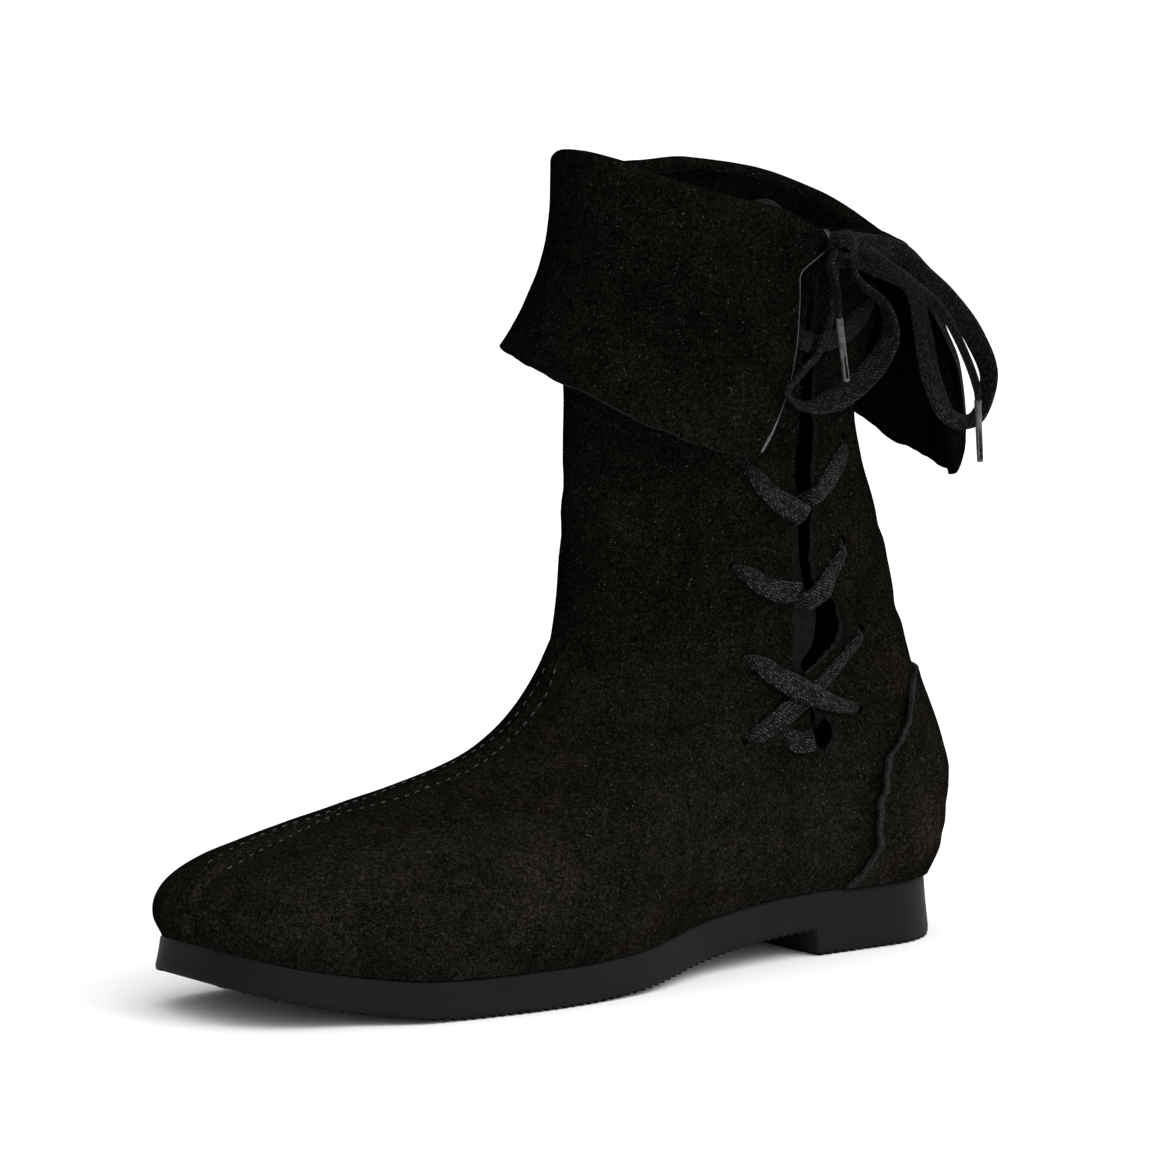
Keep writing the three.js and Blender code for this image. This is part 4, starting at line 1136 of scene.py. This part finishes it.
def upper_relief(up, turn, point):
    """How far the upper's surface stands out past its plain form, millimetres."""
    x, y, z = point[..., 0], point[..., 1], point[..., 2]
    middle = upper_surface(up, np.zeros_like(turn))
    aside = np.hypot(point[..., 0] - middle[..., 0], point[..., 1] - middle[..., 1])
    aside = np.where(np.abs(turn) < 60, aside, 99)
    fade = smoothstep(up, 0, 0.8) * (1 - smoothstep(up, 9.5, 12))
    at_toe = 1 - smoothstep(up, 3.5, 6)
    band = SEAM_HIGH * np.exp(-((aside / SEAM_HALF) ** 6))
    trough = -(SEAM_DEEP + TOE_DEEPER * at_toe) * np.exp(-((aside / (0.6 + 0.6 * at_toe)) ** 2))
    toe_fold = TOE_FOLD_HIGH * np.exp(-(((aside - TOE_FOLD_ASIDE) / TOE_FOLD_HALF) ** 2))
    toe_fold = toe_fold * smoothstep(up, 0, 0.6) * at_toe
    seam = fade * (band + trough) + toe_fold * np.where(turn > 0, 1.0, 0.3)
    outer = smoothstep(y, 5, 20)
    apart = slit_distance(x, z)
    lip = LIP_HIGH * np.exp(-((apart / LIP_WIDE) ** 1.3)) * outer * smoothstep(z, 58, 70)
    behind = x < lengthwise(slit_back(np.clip(z / COLLAR_HEIGHT, SLIT[0]["up"], 1.1))) + 1
    lip = lip * np.where(behind, 1.5, 0.5)
    pulled = np.zeros_like(x)
    for row in SLOTS:
        from_slot = np.hypot(x - lengthwise(row["along"]), z - row["up"] * COLLAR_HEIGHT)
        pulled = pulled - SLOT_PULL * np.exp(-((from_slot / SLOT_PULL_WIDE) ** 2)) * outer
    from_hole = np.hypot(x - HOLE_X, z - HOLE_Z)
    pucker = PUCKER_HIGH * np.exp(-(((from_hole - PUCKER_FROM) / PUCKER_HALF) ** 2)) * outer
    creased = np.zeros_like(x)
    for row in CREASES:
        near = near_line(x, z, row["line"], row["width"])
        beside = near_line(x, z + 1.5 * row["width"], row["line"], row["width"])
        creased = creased - row["deep"] * near + 0.6 * row["deep"] * beside
    soft = 0.4 * noise(point, 62, 11) * smoothstep(up, 1, 4) + 0.12 * noise(point, 17, 12)
    return seam + lip + pulled + pucker + creased * smoothstep(up, 1, 3) + soft


def prism(outline):
    """Points and faces of a flat outline in the side view, pushed out through the boot's outer wall."""
    count = len(outline)
    near = [(x, SLIT_DEEP, z) for x, z in outline]
    far = [(x, SLIT_DEEP + SHAFT_WIDTH, z) for x, z in outline]
    faces = [list(range(count)), list(range(2 * count - 1, count - 1, -1))]
    for k in range(count):
        n = (k + 1) % count
        faces.append([n, k, count + k, count + n])
    return near + far, faces


def cutter(name, outlines):
    joined = Joined()
    for outline in outlines:
        joined.add(*prism(outline))
    made = mesh_object(name, joined.points, joined.faces, [suede, raw_edge], kinds=[1] * len(joined.faces))
    clean(made)
    return made


def cut_away(piece, tool):
    modifier = piece.modifiers.new("cut", "BOOLEAN")
    modifier.operation = "DIFFERENCE"
    modifier.solver = "MANIFOLD"
    modifier.material_mode = "INDEX"
    modifier.object = tool
    bpy.context.view_layer.objects.active = piece
    depsgraph = bpy.context.evaluated_depsgraph_get()
    cut = bpy.data.meshes.new_from_object(piece.evaluated_get(depsgraph))
    piece.modifiers.clear()
    piece.data = cut
    bpy.data.objects.remove(tool)


def slit_outline():
    up = np.linspace(SLIT[0]["up"], 1.1, 160)
    ripple = 0.35 * np.sin(up * 71) + 0.25 * np.sin(up * 173 + 1)
    front = [(lengthwise(slit_front(u)) + r, u * COLLAR_HEIGHT) for u, r in zip(up, ripple)]
    back = [(lengthwise(slit_back(u)) + r, u * COLLAR_HEIGHT) for u, r in zip(up, ripple[::-1])]
    return front + back[::-1]


def slot_outline(slot):
    """A punched slot, drawn a little open by the lace."""
    turns = 2 * math.pi * np.arange(24) / 24
    x = np.cos(turns) * SLOT_HALF
    z = np.sin(turns) * SLOT_TALL / 2
    lean = math.radians(-slot["lean"])
    along = lengthwise(slot["along"]) + x * math.cos(lean) - z * math.sin(lean)
    height = slot["up"] * COLLAR_HEIGHT + x * math.sin(lean) + z * math.cos(lean)
    return list(zip(along, height))


def hole_outline():
    """The round hole that ends the slit, torn a little at its lower rim."""
    pick = np.random.default_rng(5)
    turns = 2 * math.pi * np.arange(48) / 48
    radius = HOLE_RADIUS + pick.uniform(-0.22, 0.22, 48)
    radius = radius + 2.6 * np.exp(-(((turns - TORN_TURN) / 0.16) ** 2))
    return list(zip(HOLE_X + radius * np.cos(turns), HOLE_Z + radius * np.sin(turns)))


def make_upper():
    ups = TOP_RING * np.linspace(0, 1, UPPER_ROWS + 1) ** 1.05
    turns = np.linspace(-180, 180, UPPER_COLUMNS, endpoint=False)
    turns = 0.62 * turns + 0.38 * 180 * np.sign(turns) * (np.abs(turns) / 180) ** 2
    beside_seam = 3.2 * (np.arange(1, 19) / 18) ** 2.1
    turns = np.sort(np.concatenate([turns[np.abs(turns) > 3.4], -beside_seam, [0], beside_seam]))
    up, turn = np.meshgrid(ups, turns, indexing="ij")
    plain = upper_surface(up, turn)
    relief = upper_relief(up, turn, plain)
    outside = upper_point(up, turn, relief)
    inside = upper_point(up, turn, relief * 0.8 - WALL)
    points, faces, kinds = shell(outside, inside, True)
    piece = mesh_object("boot_body", points, faces, [suede, highlit_edge, inner_suede], kinds)
    cut_away(piece, cutter("slit_tool", [slit_outline()] + [slot_outline(row) for row in SLOTS]))
    cut_away(piece, cutter("hole_tool", [hole_outline()]))
    piece.data.set_sharp_from_angle(angle=math.radians(45))
    piece.data.materials.append(raw_edge)
    for face in piece.data.polygons:
        x, _, z = face.center / MM
        # Painted highlight: the slit's front cut edge above BRIGHT_ABOVE keeps the lighter edge, other cut
        # faces turn to dull raw edge
        bright = lengthwise(slit_front(z / COLLAR_HEIGHT)) - 1.2 < x < 44 and z > BRIGHT_ABOVE
        if face.material_index == 1 and not bright:
            face.material_index = 3
    place_piece(piece, "suede", "upper")


make_upper()


# Heel counter
COUNTER_AHEAD = 0.0085
COUNTER_BAND = 2.5
COUNTER_CURL = 2.6
CREASE_HALF = 3.2
COUNTER_CREASES = [
    (0.5, (-36, 40), (-20, 62)),
    (0.45, (-40, 30), (-12, 48)),
    (0.4, (-34, 62), (-22, 78)),
]


def make_counter():
    rows, columns = 90, 150
    ups = np.linspace(0, COUNTER[-1]["up"], rows)
    share = (ring["toe"](ups) - counter_front(ups) - COUNTER_AHEAD) / (ring["toe"](ups) - ring["heel"](ups))
    reach = 180 - np.degrees(np.arccos(np.clip(1 - 2 * share, -1, 1)))
    wave = 0.55 * np.sin(ups * 2.6 + 0.6) + 0.25 * np.sin(ups * 6.1 + 1) + 0.07 * np.sin(ups * 19)
    across = np.linspace(-1, 1, columns)
    across = np.sign(across) * (1 - (1 - np.abs(across)) ** 1.5)
    turn = -180 + (reach + wave)[:, None] * across[None]
    up = np.broadcast_to(ups[:, None], turn.shape)
    plain = upper_surface(up, turn)
    edge = np.where(across[None] < 0, 0, columns - 1)
    ends = np.take_along_axis(plain, np.broadcast_to(edge[..., None], (rows, columns, 3)), axis=1)
    inward = np.linalg.norm(plain - ends, axis=-1)
    curl = (1.1 + 0.9 * smoothstep(up, 4, 7)) * np.exp(-((inward / COUNTER_CURL) ** 1.5))
    curl = curl * smoothstep(up, 0.2, 1.2)
    lies_flat = smoothstep(up, 7.2, 0.97 * COUNTER[-1]["up"])
    wrinkle = 0.0
    for deep, *line in COUNTER_CREASES:
        wrinkle = wrinkle - deep * near_line(plain[..., 0], plain[..., 2], line, CREASE_HALF)
        wrinkle = wrinkle + 0.7 * deep * near_line(plain[..., 0], plain[..., 2] + 4.5, line, CREASE_HALF)
    swell = 0.3 * noise(plain, 40, 21) + 0.1 * noise(plain, 12, 22) + wrinkle + 0.35
    raised = mix(np.maximum(swell, -0.2) + curl, -0.2, lies_flat)
    outside = upper_point(up, turn, COUNTER_GAP + COUNTER_WALL + raised)
    inside = upper_point(up, turn, COUNTER_GAP + raised)
    points, faces, kinds = shell(outside, inside, False)
    near_edge = np.concatenate([inward.ravel(), inward.ravel()])[faces].mean(axis=1)
    kinds = np.where((kinds == 0) & (near_edge < COUNTER_BAND), 1, kinds)
    piece = mesh_object("heel_overlay", points, faces, [suede, raw_edge, suede, raw_edge], kinds)
    place_piece(piece, "suede", "heel_counter")


make_counter()


# Cuff. Its cut side edge carries a painted highlight below BRIGHT_BELOW and is dull above it.
BRIGHT_BELOW = 255
FLAP_EDGE = 0.55
# Waves of its lower edge: height in millimetres, waves round the shaft and where they begin
CUFF_WAVES = [(1.1, 5, 1), (0.7, 9, 0), (0.35, 17, 2)]
CUFF_RAGGED = [(0.22, 27, 0), (0.08, 71, 1)]


def waves(round_it, rows):
    return sum(high * np.sin(round_it * count + start) for high, count, start in rows)


def make_cuff():
    turns = np.linspace(CUFF[0]["turn"], CUFF[-1]["turn"], 380)
    turns = np.insert(turns, 1, CUFF[0]["turn"] - FLAP_EDGE)
    downs = np.concatenate([np.linspace(0, 1, 16), np.linspace(1, 2, 64)[1:]])
    down, turn = np.meshgrid(downs, turns, indexing="ij")
    middle = cuff_middle(turn, down)
    hang = np.maximum(down - 1, 0)
    along = np.gradient(middle, axis=1)
    below = np.gradient(middle, axis=0)
    normal = np.cross(along, below)
    normal[0, :, 2] = 0
    normal = unit(normal)
    round_it = np.radians(turn)
    wing = 1 - smoothstep(turn, -215, -190)
    ripple = waves(round_it, CUFF_WAVES) * hang**1.6 * (1 - 0.85 * wing)
    soft = (0.5 * noise(middle, 38, 31) + 0.15 * noise(middle, 14, 32)) * smoothstep(hang, 0, 0.3)
    end = np.exp(-((turn - CUFF[0]["turn"]) / 4) ** 2) * smoothstep(hang, 0.02, 0.2)
    middle = middle + normal * (ripple + soft + end)[..., None]
    middle[..., 2] += waves(round_it, CUFF_RAGGED) * smoothstep(hang, 0.9, 1) * (1 - 0.8 * wing)
    points, faces, kinds = shell(middle + normal * WALL / 2, middle - normal * WALL / 2, False)
    edge_from = CUFF[0]["turn"] - FLAP_EDGE - 0.01
    at_edge = np.concatenate([turn.ravel(), turn.ravel()])[faces].min(axis=1) > edge_from
    kinds = np.where((kinds == 0) & at_edge, 3, kinds)
    kinds = np.where((kinds == 3) & (points[faces][..., 2].mean(axis=1) > BRIGHT_BELOW), 1, kinds)
    piece = mesh_object("turned_cuff", points, faces, [suede, raw_edge, inner_suede, highlit_edge], kinds)
    place_piece(piece, "suede", "cuff")


make_cuff()


# Lacing over the slit. Each strap: where it begins and ends, how it lies over others, and its width along it.
# Its last number says which crossing it belongs to. An end is a slot's name or a place in the slit.
STRAP_GAP = 0.35
STRAP_WIDER = 1.06
DIVE_DEEP = 4.2
DIVE_LONG = 4.6
STRAPS = [
    ("front_2", "back_1", 1.0, [(0, 3.8), (0.12, 6.8), (0.38, 8.2), (0.6, 6.2), (0.75, 4.8), (1, 3.4)], 1),
    ("back_2", "front_1", 0.0, [(0, 3.0), (0.2, 3.8), (0.5, 5.6), (0.72, 8.2), (0.9, 7.2), (1, 3.6)], 1),
    ((0.232, 0.284), (0.285, 0.299), 0.0, [(0, 6.6), (0.5, 7.2), (1, 4.6)], 1),
    ("back_3", (0.262, 0.452), 0.9, [(0, 3.0), (0.25, 4.6), (0.6, 7.4), (1, 6.8)], 2),
    ("front_3", (0.25, 0.468), 0.0, [(0, 3.6), (0.2, 6.4), (0.6, 7.2), (1, 6.6)], 2),
    ("front_4", (0.246, 0.56), 0.9, [(0, 3.4), (0.25, 6.6), (0.6, 7.6), (1, 6.2)], 3),
    ("back_4", (0.254, 0.58), 0.0, [(0, 3.4), (0.3, 6.2), (0.7, 6.6), (1, 5.0)], 3),
    ("back_5", (0.235, 0.775), 0.9, [(0, 3.4), (0.3, 7.0), (1, 6.6)], 4),
    ((0.285, 0.81), (0.232, 0.78), 0.0, [(0, 5.0), (0.3, 6.6), (1, 6.2)], 4),
]


def strap_end(end):
    if isinstance(end, str):
        return slot_named[end]["along"], slot_named[end]["up"]
    return end


def strap(start, finish, over, widths):
    """A strap over the leather. Its ends go in through their slots or into the slit."""
    from_along, from_up = strap_end(start)
    to_along, to_up = strap_end(finish)
    length = math.hypot((to_along - from_along) * LENGTH, (to_up - from_up) * COLLAR_HEIGHT)
    share = np.linspace(0, 1, max(int(length / 0.5), 16))
    bow = 0.012 * np.sin(share * math.pi)
    height = (mix(from_up, to_up, share) - bow) * COLLAR_HEIGHT
    place_up, place_turn = outer_place(mix(from_along, to_along, share), height)
    plain = upper_surface(place_up, place_turn)
    relief = upper_relief(place_up, place_turn, plain)
    relief = np.convolve(np.pad(relief, 4, mode="edge"), np.ones(9) / 9, mode="valid")
    hump = smoothstep(share, 0.12, 0.42) * (1 - smoothstep(share, 0.6, 0.9) * isinstance(finish, str))
    if isinstance(finish, tuple):
        hump = smoothstep(share, 0.3, 0.75)
    lift = STRAP_GAP + LACE_THICKNESS / 2 + np.maximum(relief, -0.3) + over * LACE_THICKNESS * hump
    dive = DIVE_DEEP * (1 - smoothstep(share * length, 0, DIVE_LONG)) ** 1.3
    dive = dive + (DIVE_DEEP + 1.5) * (1 - smoothstep((1 - share) * length, 0, DIVE_LONG)) ** 1.3
    middles = upper_point(place_up, place_turn, lift - dive)
    wide = np.interp(share, [w[0] for w in widths], [w[1] for w in widths]) * STRAP_WIDER
    facings = upper_normal(place_up, place_turn)
    facings = unit(facings + 0.25 * np.sin(share * 5)[:, None] * upward)
    return ribbon(middles, facings, wide)


def make_crossing(number):
    joined = Joined()
    for start, finish, over, widths, crossing in STRAPS:
        if crossing == number:
            joined.add(*strap(start, finish, over, widths))
    piece = mesh_object(f"crossing_{number}", joined.points, joined.faces, [braid], uv=joined.uv)
    place_piece(piece, "lace", f"lace_cross_{number}")


for number in (1, 2, 3, 4):
    make_crossing(number)


# The lace's inner run, which shows over the rim
INNER_RUN = [(57, 19, 236), (53, 24, 244), (49.5, 27, 249.4), (45, 29, 250), (40, 31, 245), (37, 34, 238)]
INNER_WIDTH = 4.6


def make_inner_run():
    middles = spline(INNER_RUN, 1.0)
    points, faces, uv = ribbon(middles, unit(away * 0.6 + upward * 0.8), INNER_WIDTH)
    place_piece(mesh_object("inner_run", points, faces, [braid], uv=uv), "lace")


make_inner_run()


# Knot of the bow: bands of lace wound round each other
# Each: tilt in degrees, half sizes away from the viewer and up, place across and width
KNOT_BANDS = [
    (20, 5.6, 6.4, 0.6, 6.6),
    (-38, 6.2, 5.6, -0.6, 6.2),
    (72, 5.2, 6.0, 1.2, 5.4),
]


def make_knot():
    joined = Joined()
    spin = np.linspace(0.35, 2 * math.pi - 0.1, 60)
    for tilt, deep, high, shift, wide in KNOT_BANDS:
        lean = math.radians(tilt)
        axis = right * math.cos(lean) + upward * math.sin(lean)
        across = unit(np.cross(axis, away))
        outward = np.cos(spin)[:, None] * away * deep / 6 + np.sin(spin)[:, None] * across * high / 6
        middles = KNOT["middle"] + outward * 4.4 + axis * shift
        middles = middles + axis * np.linspace(-0.8, 0.8, len(spin))[:, None]
        joined.add(*ribbon(middles, unit(outward), wide, 1.5))
    rows, columns = 20, 30
    around = 2 * math.pi * np.arange(columns) / columns
    tilts, spins = np.meshgrid(np.linspace(0, math.pi, rows), around, indexing="ij")
    ball = np.stack([np.cos(tilts), np.sin(tilts) * np.cos(spins), np.sin(tilts) * np.sin(spins)], axis=-1)
    core = (KNOT["middle"] + ball * KNOT["half"] * 0.72).reshape(-1, 3)
    uv = np.stack([spins * 5, ball[..., 0] * 6], axis=-1).reshape(-1, 2)
    joined.add(core, tube_faces(rows, columns, ends=False), uv)
    piece = mesh_object("bow_knot", joined.points, joined.faces, [braid], uv=joined.uv)
    clean(piece)
    place_piece(piece, "lace", "lace_knot")


make_knot()


# Stitches along both sides of the front seam. aside: distance from it over the surface, outer side positive.
STITCH_PITCH = 4.1
STITCH_LONG = 2.0
STITCH_WIDE = 0.45
OUTER_ROW = table(
    "up aside",
    [
        (3.45, 6.5),
        (4, 7.6),
        (4.7, 6.2),
        (5.2, 4.6),
        (5.7, 3.2),
        (6.2, 4.6),
        (6.8, 7),
        (7.6, 6.4),
        (8.4, 4.8),
        (9.1, 3),
        (10, 3.4),
        (10.9, 2.2),
    ],
)
INNER_ROW = table(
    "up aside",
    [
        (3.45, -4),
        (5.3, -2.4),
        (5.8, -1.6),
        (6.2, -4.2),
        (6.7, -6.4),
        (7.3, -7.4),
        (8.5, -7),
        (9.6, -5.5),
        (10.9, -3.5),
    ],
)


def row_turn(ups, aside):
    """Turn of the places that lie so far aside of the toe line at each ring."""
    low, high = np.zeros_like(ups), np.full_like(ups, 40.0)
    middle = upper_surface(ups, np.zeros_like(ups))
    for _ in range(HALVINGS - 2):
        turn = (low + high) / 2
        apart = upper_surface(ups, np.sign(aside) * turn) - middle
        near = np.hypot(apart[..., 0], apart[..., 1]) < np.abs(aside)
        low, high = np.where(near, turn, low), np.where(near, high, turn)
    return np.sign(aside) * low


# A stitch from its start to its end: share of its length, height in the leather and share of its width
STITCH_FORM = table(
    "share high wide",
    [(0, -0.5, 0.5), (0.12, 0, 1), (0.5, 0.12, 1), (0.88, 0, 1), (1, -0.5, 0.5)],
)
STITCH_SIDES = 6


def make_stitches():
    pick = np.random.default_rng(6)
    share, high, wide = (np.array([row[name] for row in STITCH_FORM]) for name in STITCH_FORM[0])
    spin = 2 * math.pi * np.arange(STITCH_SIDES)[:, None] / STITCH_SIDES
    joined = Joined()
    for rows in (OUTER_ROW, INNER_ROW):
        ups = np.linspace(rows[0]["up"], rows[-1]["up"], 700)
        turn = row_turn(ups, curve(rows, "up", "aside")(ups))
        raised = upper_relief(ups, turn, upper_surface(ups, turn)) + 0.2
        row = upper_point(ups, turn, raised)
        normals = upper_normal(ups, turn)
        travelled = travelled_along(row)
        for start in np.arange(0, travelled[-1] - STITCH_LONG, STITCH_PITCH):
            sunk = pick.uniform(-0.3, 0.05)
            at = start + pick.uniform(-0.3, 0.3) + share * STITCH_LONG
            normal = unit(points_at(at, travelled, normals))
            middle = points_at(at, travelled, row) + normal * (high + sunk)[:, None]
            across = np.cross(normal, unit(middle[-1] - middle[0]))
            section = across[:, None] * np.cos(spin) + normal[:, None] * np.sin(spin)
            points = middle[:, None] + section * (wide * STITCH_WIDE / 2)[:, None, None]
            joined.add(points.reshape(-1, 3), tube_faces(len(share), STITCH_SIDES))
    piece = mesh_object("seam_stitches", joined.points, joined.faces, [thread])
    place_piece(piece, "suede")


make_stitches()


# Torn fibres round the hole and along the slit
HOLE_FIBRES = 260
SLIT_FIBRES = 420
FIBRE_THIN = 0.075


def fibre(pick, root, way, long):
    """A bent three-sided hair from its root, and thinner towards its end."""
    bend = unit(way + pick.normal(size=3) * 0.35)
    side = unit(np.cross(way, pick.normal(size=3)))
    other = np.cross(unit(way), side)
    points = []
    for place, size in ((0, 1.0), (0.5, 0.7), (1.0, 0.15)):
        middle = root + way * long * place + bend * long * place**2 * 0.5
        for k in range(3):
            spin = 2 * math.pi * k / 3
            points.append(middle + (side * math.cos(spin) + other * math.sin(spin)) * FIBRE_THIN * size)
    return points


def make_fibres():
    pick = np.random.default_rng(8)
    spins = pick.uniform(0, 2 * math.pi, HOLE_FIBRES)
    torn = np.where(np.abs(spins - TORN_TURN) < 0.3, 1.6, 0)
    radii = HOLE_RADIUS + pick.uniform(-0.1, 0.7, HOLE_FIBRES) + torn
    x, z = HOLE_X + radii * np.cos(spins), HOLE_Z + radii * np.sin(spins)
    inward = np.stack([-np.cos(spins), np.zeros(HOLE_FIBRES), -np.sin(spins)], axis=-1)
    inward = inward * pick.uniform(-0.9, 0.35, HOLE_FIBRES)[:, None]
    share = pick.uniform(SLIT[0]["up"] + 0.05, 0.82, SLIT_FIBRES)
    front = pick.uniform(size=SLIT_FIBRES) < 0.5
    sign = np.where(front, 1, -1)
    edge = np.where(front, slit_front(share), slit_back(share)) + sign * 0.0008
    across = np.stack([-sign, np.zeros(SLIT_FIBRES), np.zeros(SLIT_FIBRES)], axis=-1) * 1.4
    ups, turns = outer_place(np.concatenate([share_of(x), edge]), np.concatenate([z, share * COLLAR_HEIGHT]))
    count = HOLE_FIBRES + SLIT_FIBRES
    raised = upper_relief(ups, turns, upper_surface(ups, turns)) - pick.uniform(0, 1.2, count)
    roots, normals = upper_point(ups, turns, raised), upper_normal(ups, turns)
    ways = unit(normals * 0.6 + np.concatenate([inward, across]) + pick.normal(size=(count, 3)) * 0.4)
    longs = np.concatenate([pick.uniform(0.6, 1.9, HOLE_FIBRES), pick.uniform(0.3, 1.1, SLIT_FIBRES)])
    joined = Joined()
    for root, way, long in zip(roots, ways, longs):
        joined.add(fibre(pick, root, way, long), tube_faces(3, 3))
    place_piece(mesh_object("torn_fibres", joined.points, joined.faces, [raw_edge]), "suede")


make_fibres()


# A strip of smooth leather that backs the front edge of the slit
FACING_SHOWS = table(
    "up shows",
    [
        (0.3, 1),
        (0.37, 5),
        (0.4, 13),
        (0.44, 14.5),
        (0.47, 9),
        (0.52, 6),
        (0.58, 5.5),
        (0.63, 2),
        (0.7, 0.5),
        (0.8, 0.5),
    ],
)
FACING_BEHIND = 9.0


def make_facing():
    share_up = np.linspace(FACING_SHOWS[0]["up"], FACING_SHOWS[-1]["up"], 160)
    shows = curve(FACING_SHOWS, "up", "shows")(share_up)
    across = np.linspace(0, 1, 14)
    along = slit_front(share_up)[:, None] + mix(FACING_BEHIND, -shows[:, None], across[None]) / LENGTH
    up, turn = outer_place(along, np.broadcast_to(share_up[:, None] * COLLAR_HEIGHT, along.shape))
    sunk = -WALL - 0.9 - 1.6 * smoothstep(across, 0.5, 1)[None] * (shows / 14)[:, None]
    outside = upper_point(up, turn, np.broadcast_to(sunk, along.shape))
    inside = upper_point(up, turn, np.broadcast_to(sunk - 1.0, along.shape))
    points, faces, _ = shell(outside, inside, False)
    piece = mesh_object("slit_facing", points, faces, [facing_leather])
    clean(piece)
    place_piece(piece, "lining")


make_facing()

insole = bpy.data.objects["insole"]
insole.material_slots[0].material = lining


# Floor and light
FLOOR_REACH = 9000
LIGHT_FROM = unit(away * 0.8 + right * 1.05 + upward * 0.95)
LIGHT_SPREAD = (-0.5, 1.0, 0.3, 1.85)

floor_material = plain_material("floor", grey(0.93), grey(0.95), 3, 1.0, 0.0, 0.001, 0)
corners = [(x * FLOOR_REACH, y * FLOOR_REACH, 0) for x, y in ((-1, -1), (1, -1), (1, 1), (-1, 1))]
floor = mesh_object("floor", corners, [(0, 1, 2, 3)], [floor_material])

world = bpy.data.worlds.new("studio")
bpy.context.scene.world = world
world.use_nodes = True
add = node_adder(world.node_tree)
towards = measured(add, "DOT_PRODUCT", add("ShaderNodeTexCoord").outputs["Generated"], LIGHT_FROM)
background = world.node_tree.nodes["Background"]
world.node_tree.links.new(fade(add, towards, *LIGHT_SPREAD), background.inputs["Strength"])
background.inputs["Color"].default_value = (1, 1, 1, 1)


def area_light(name, place, target, size, power):
    data = bpy.data.lights.new(name, "AREA")
    data.shape = "RECTANGLE"
    data.size, data.size_y = size
    data.energy = power
    lamp = bpy.data.objects.new(name, data)
    lamp.location = Vector(place)
    lamp.rotation_euler = (Vector(target) - Vector(place)).to_track_quat("-Z", "Y").to_euler()
    bpy.context.scene.collection.objects.link(lamp)


area_light("key", tuple(LIGHT_FROM * 2.2), (0.05, 0, 0.12), (0.8, 0.8), 9)
bpy.context.scene.view_settings.view_transform = "Standard"
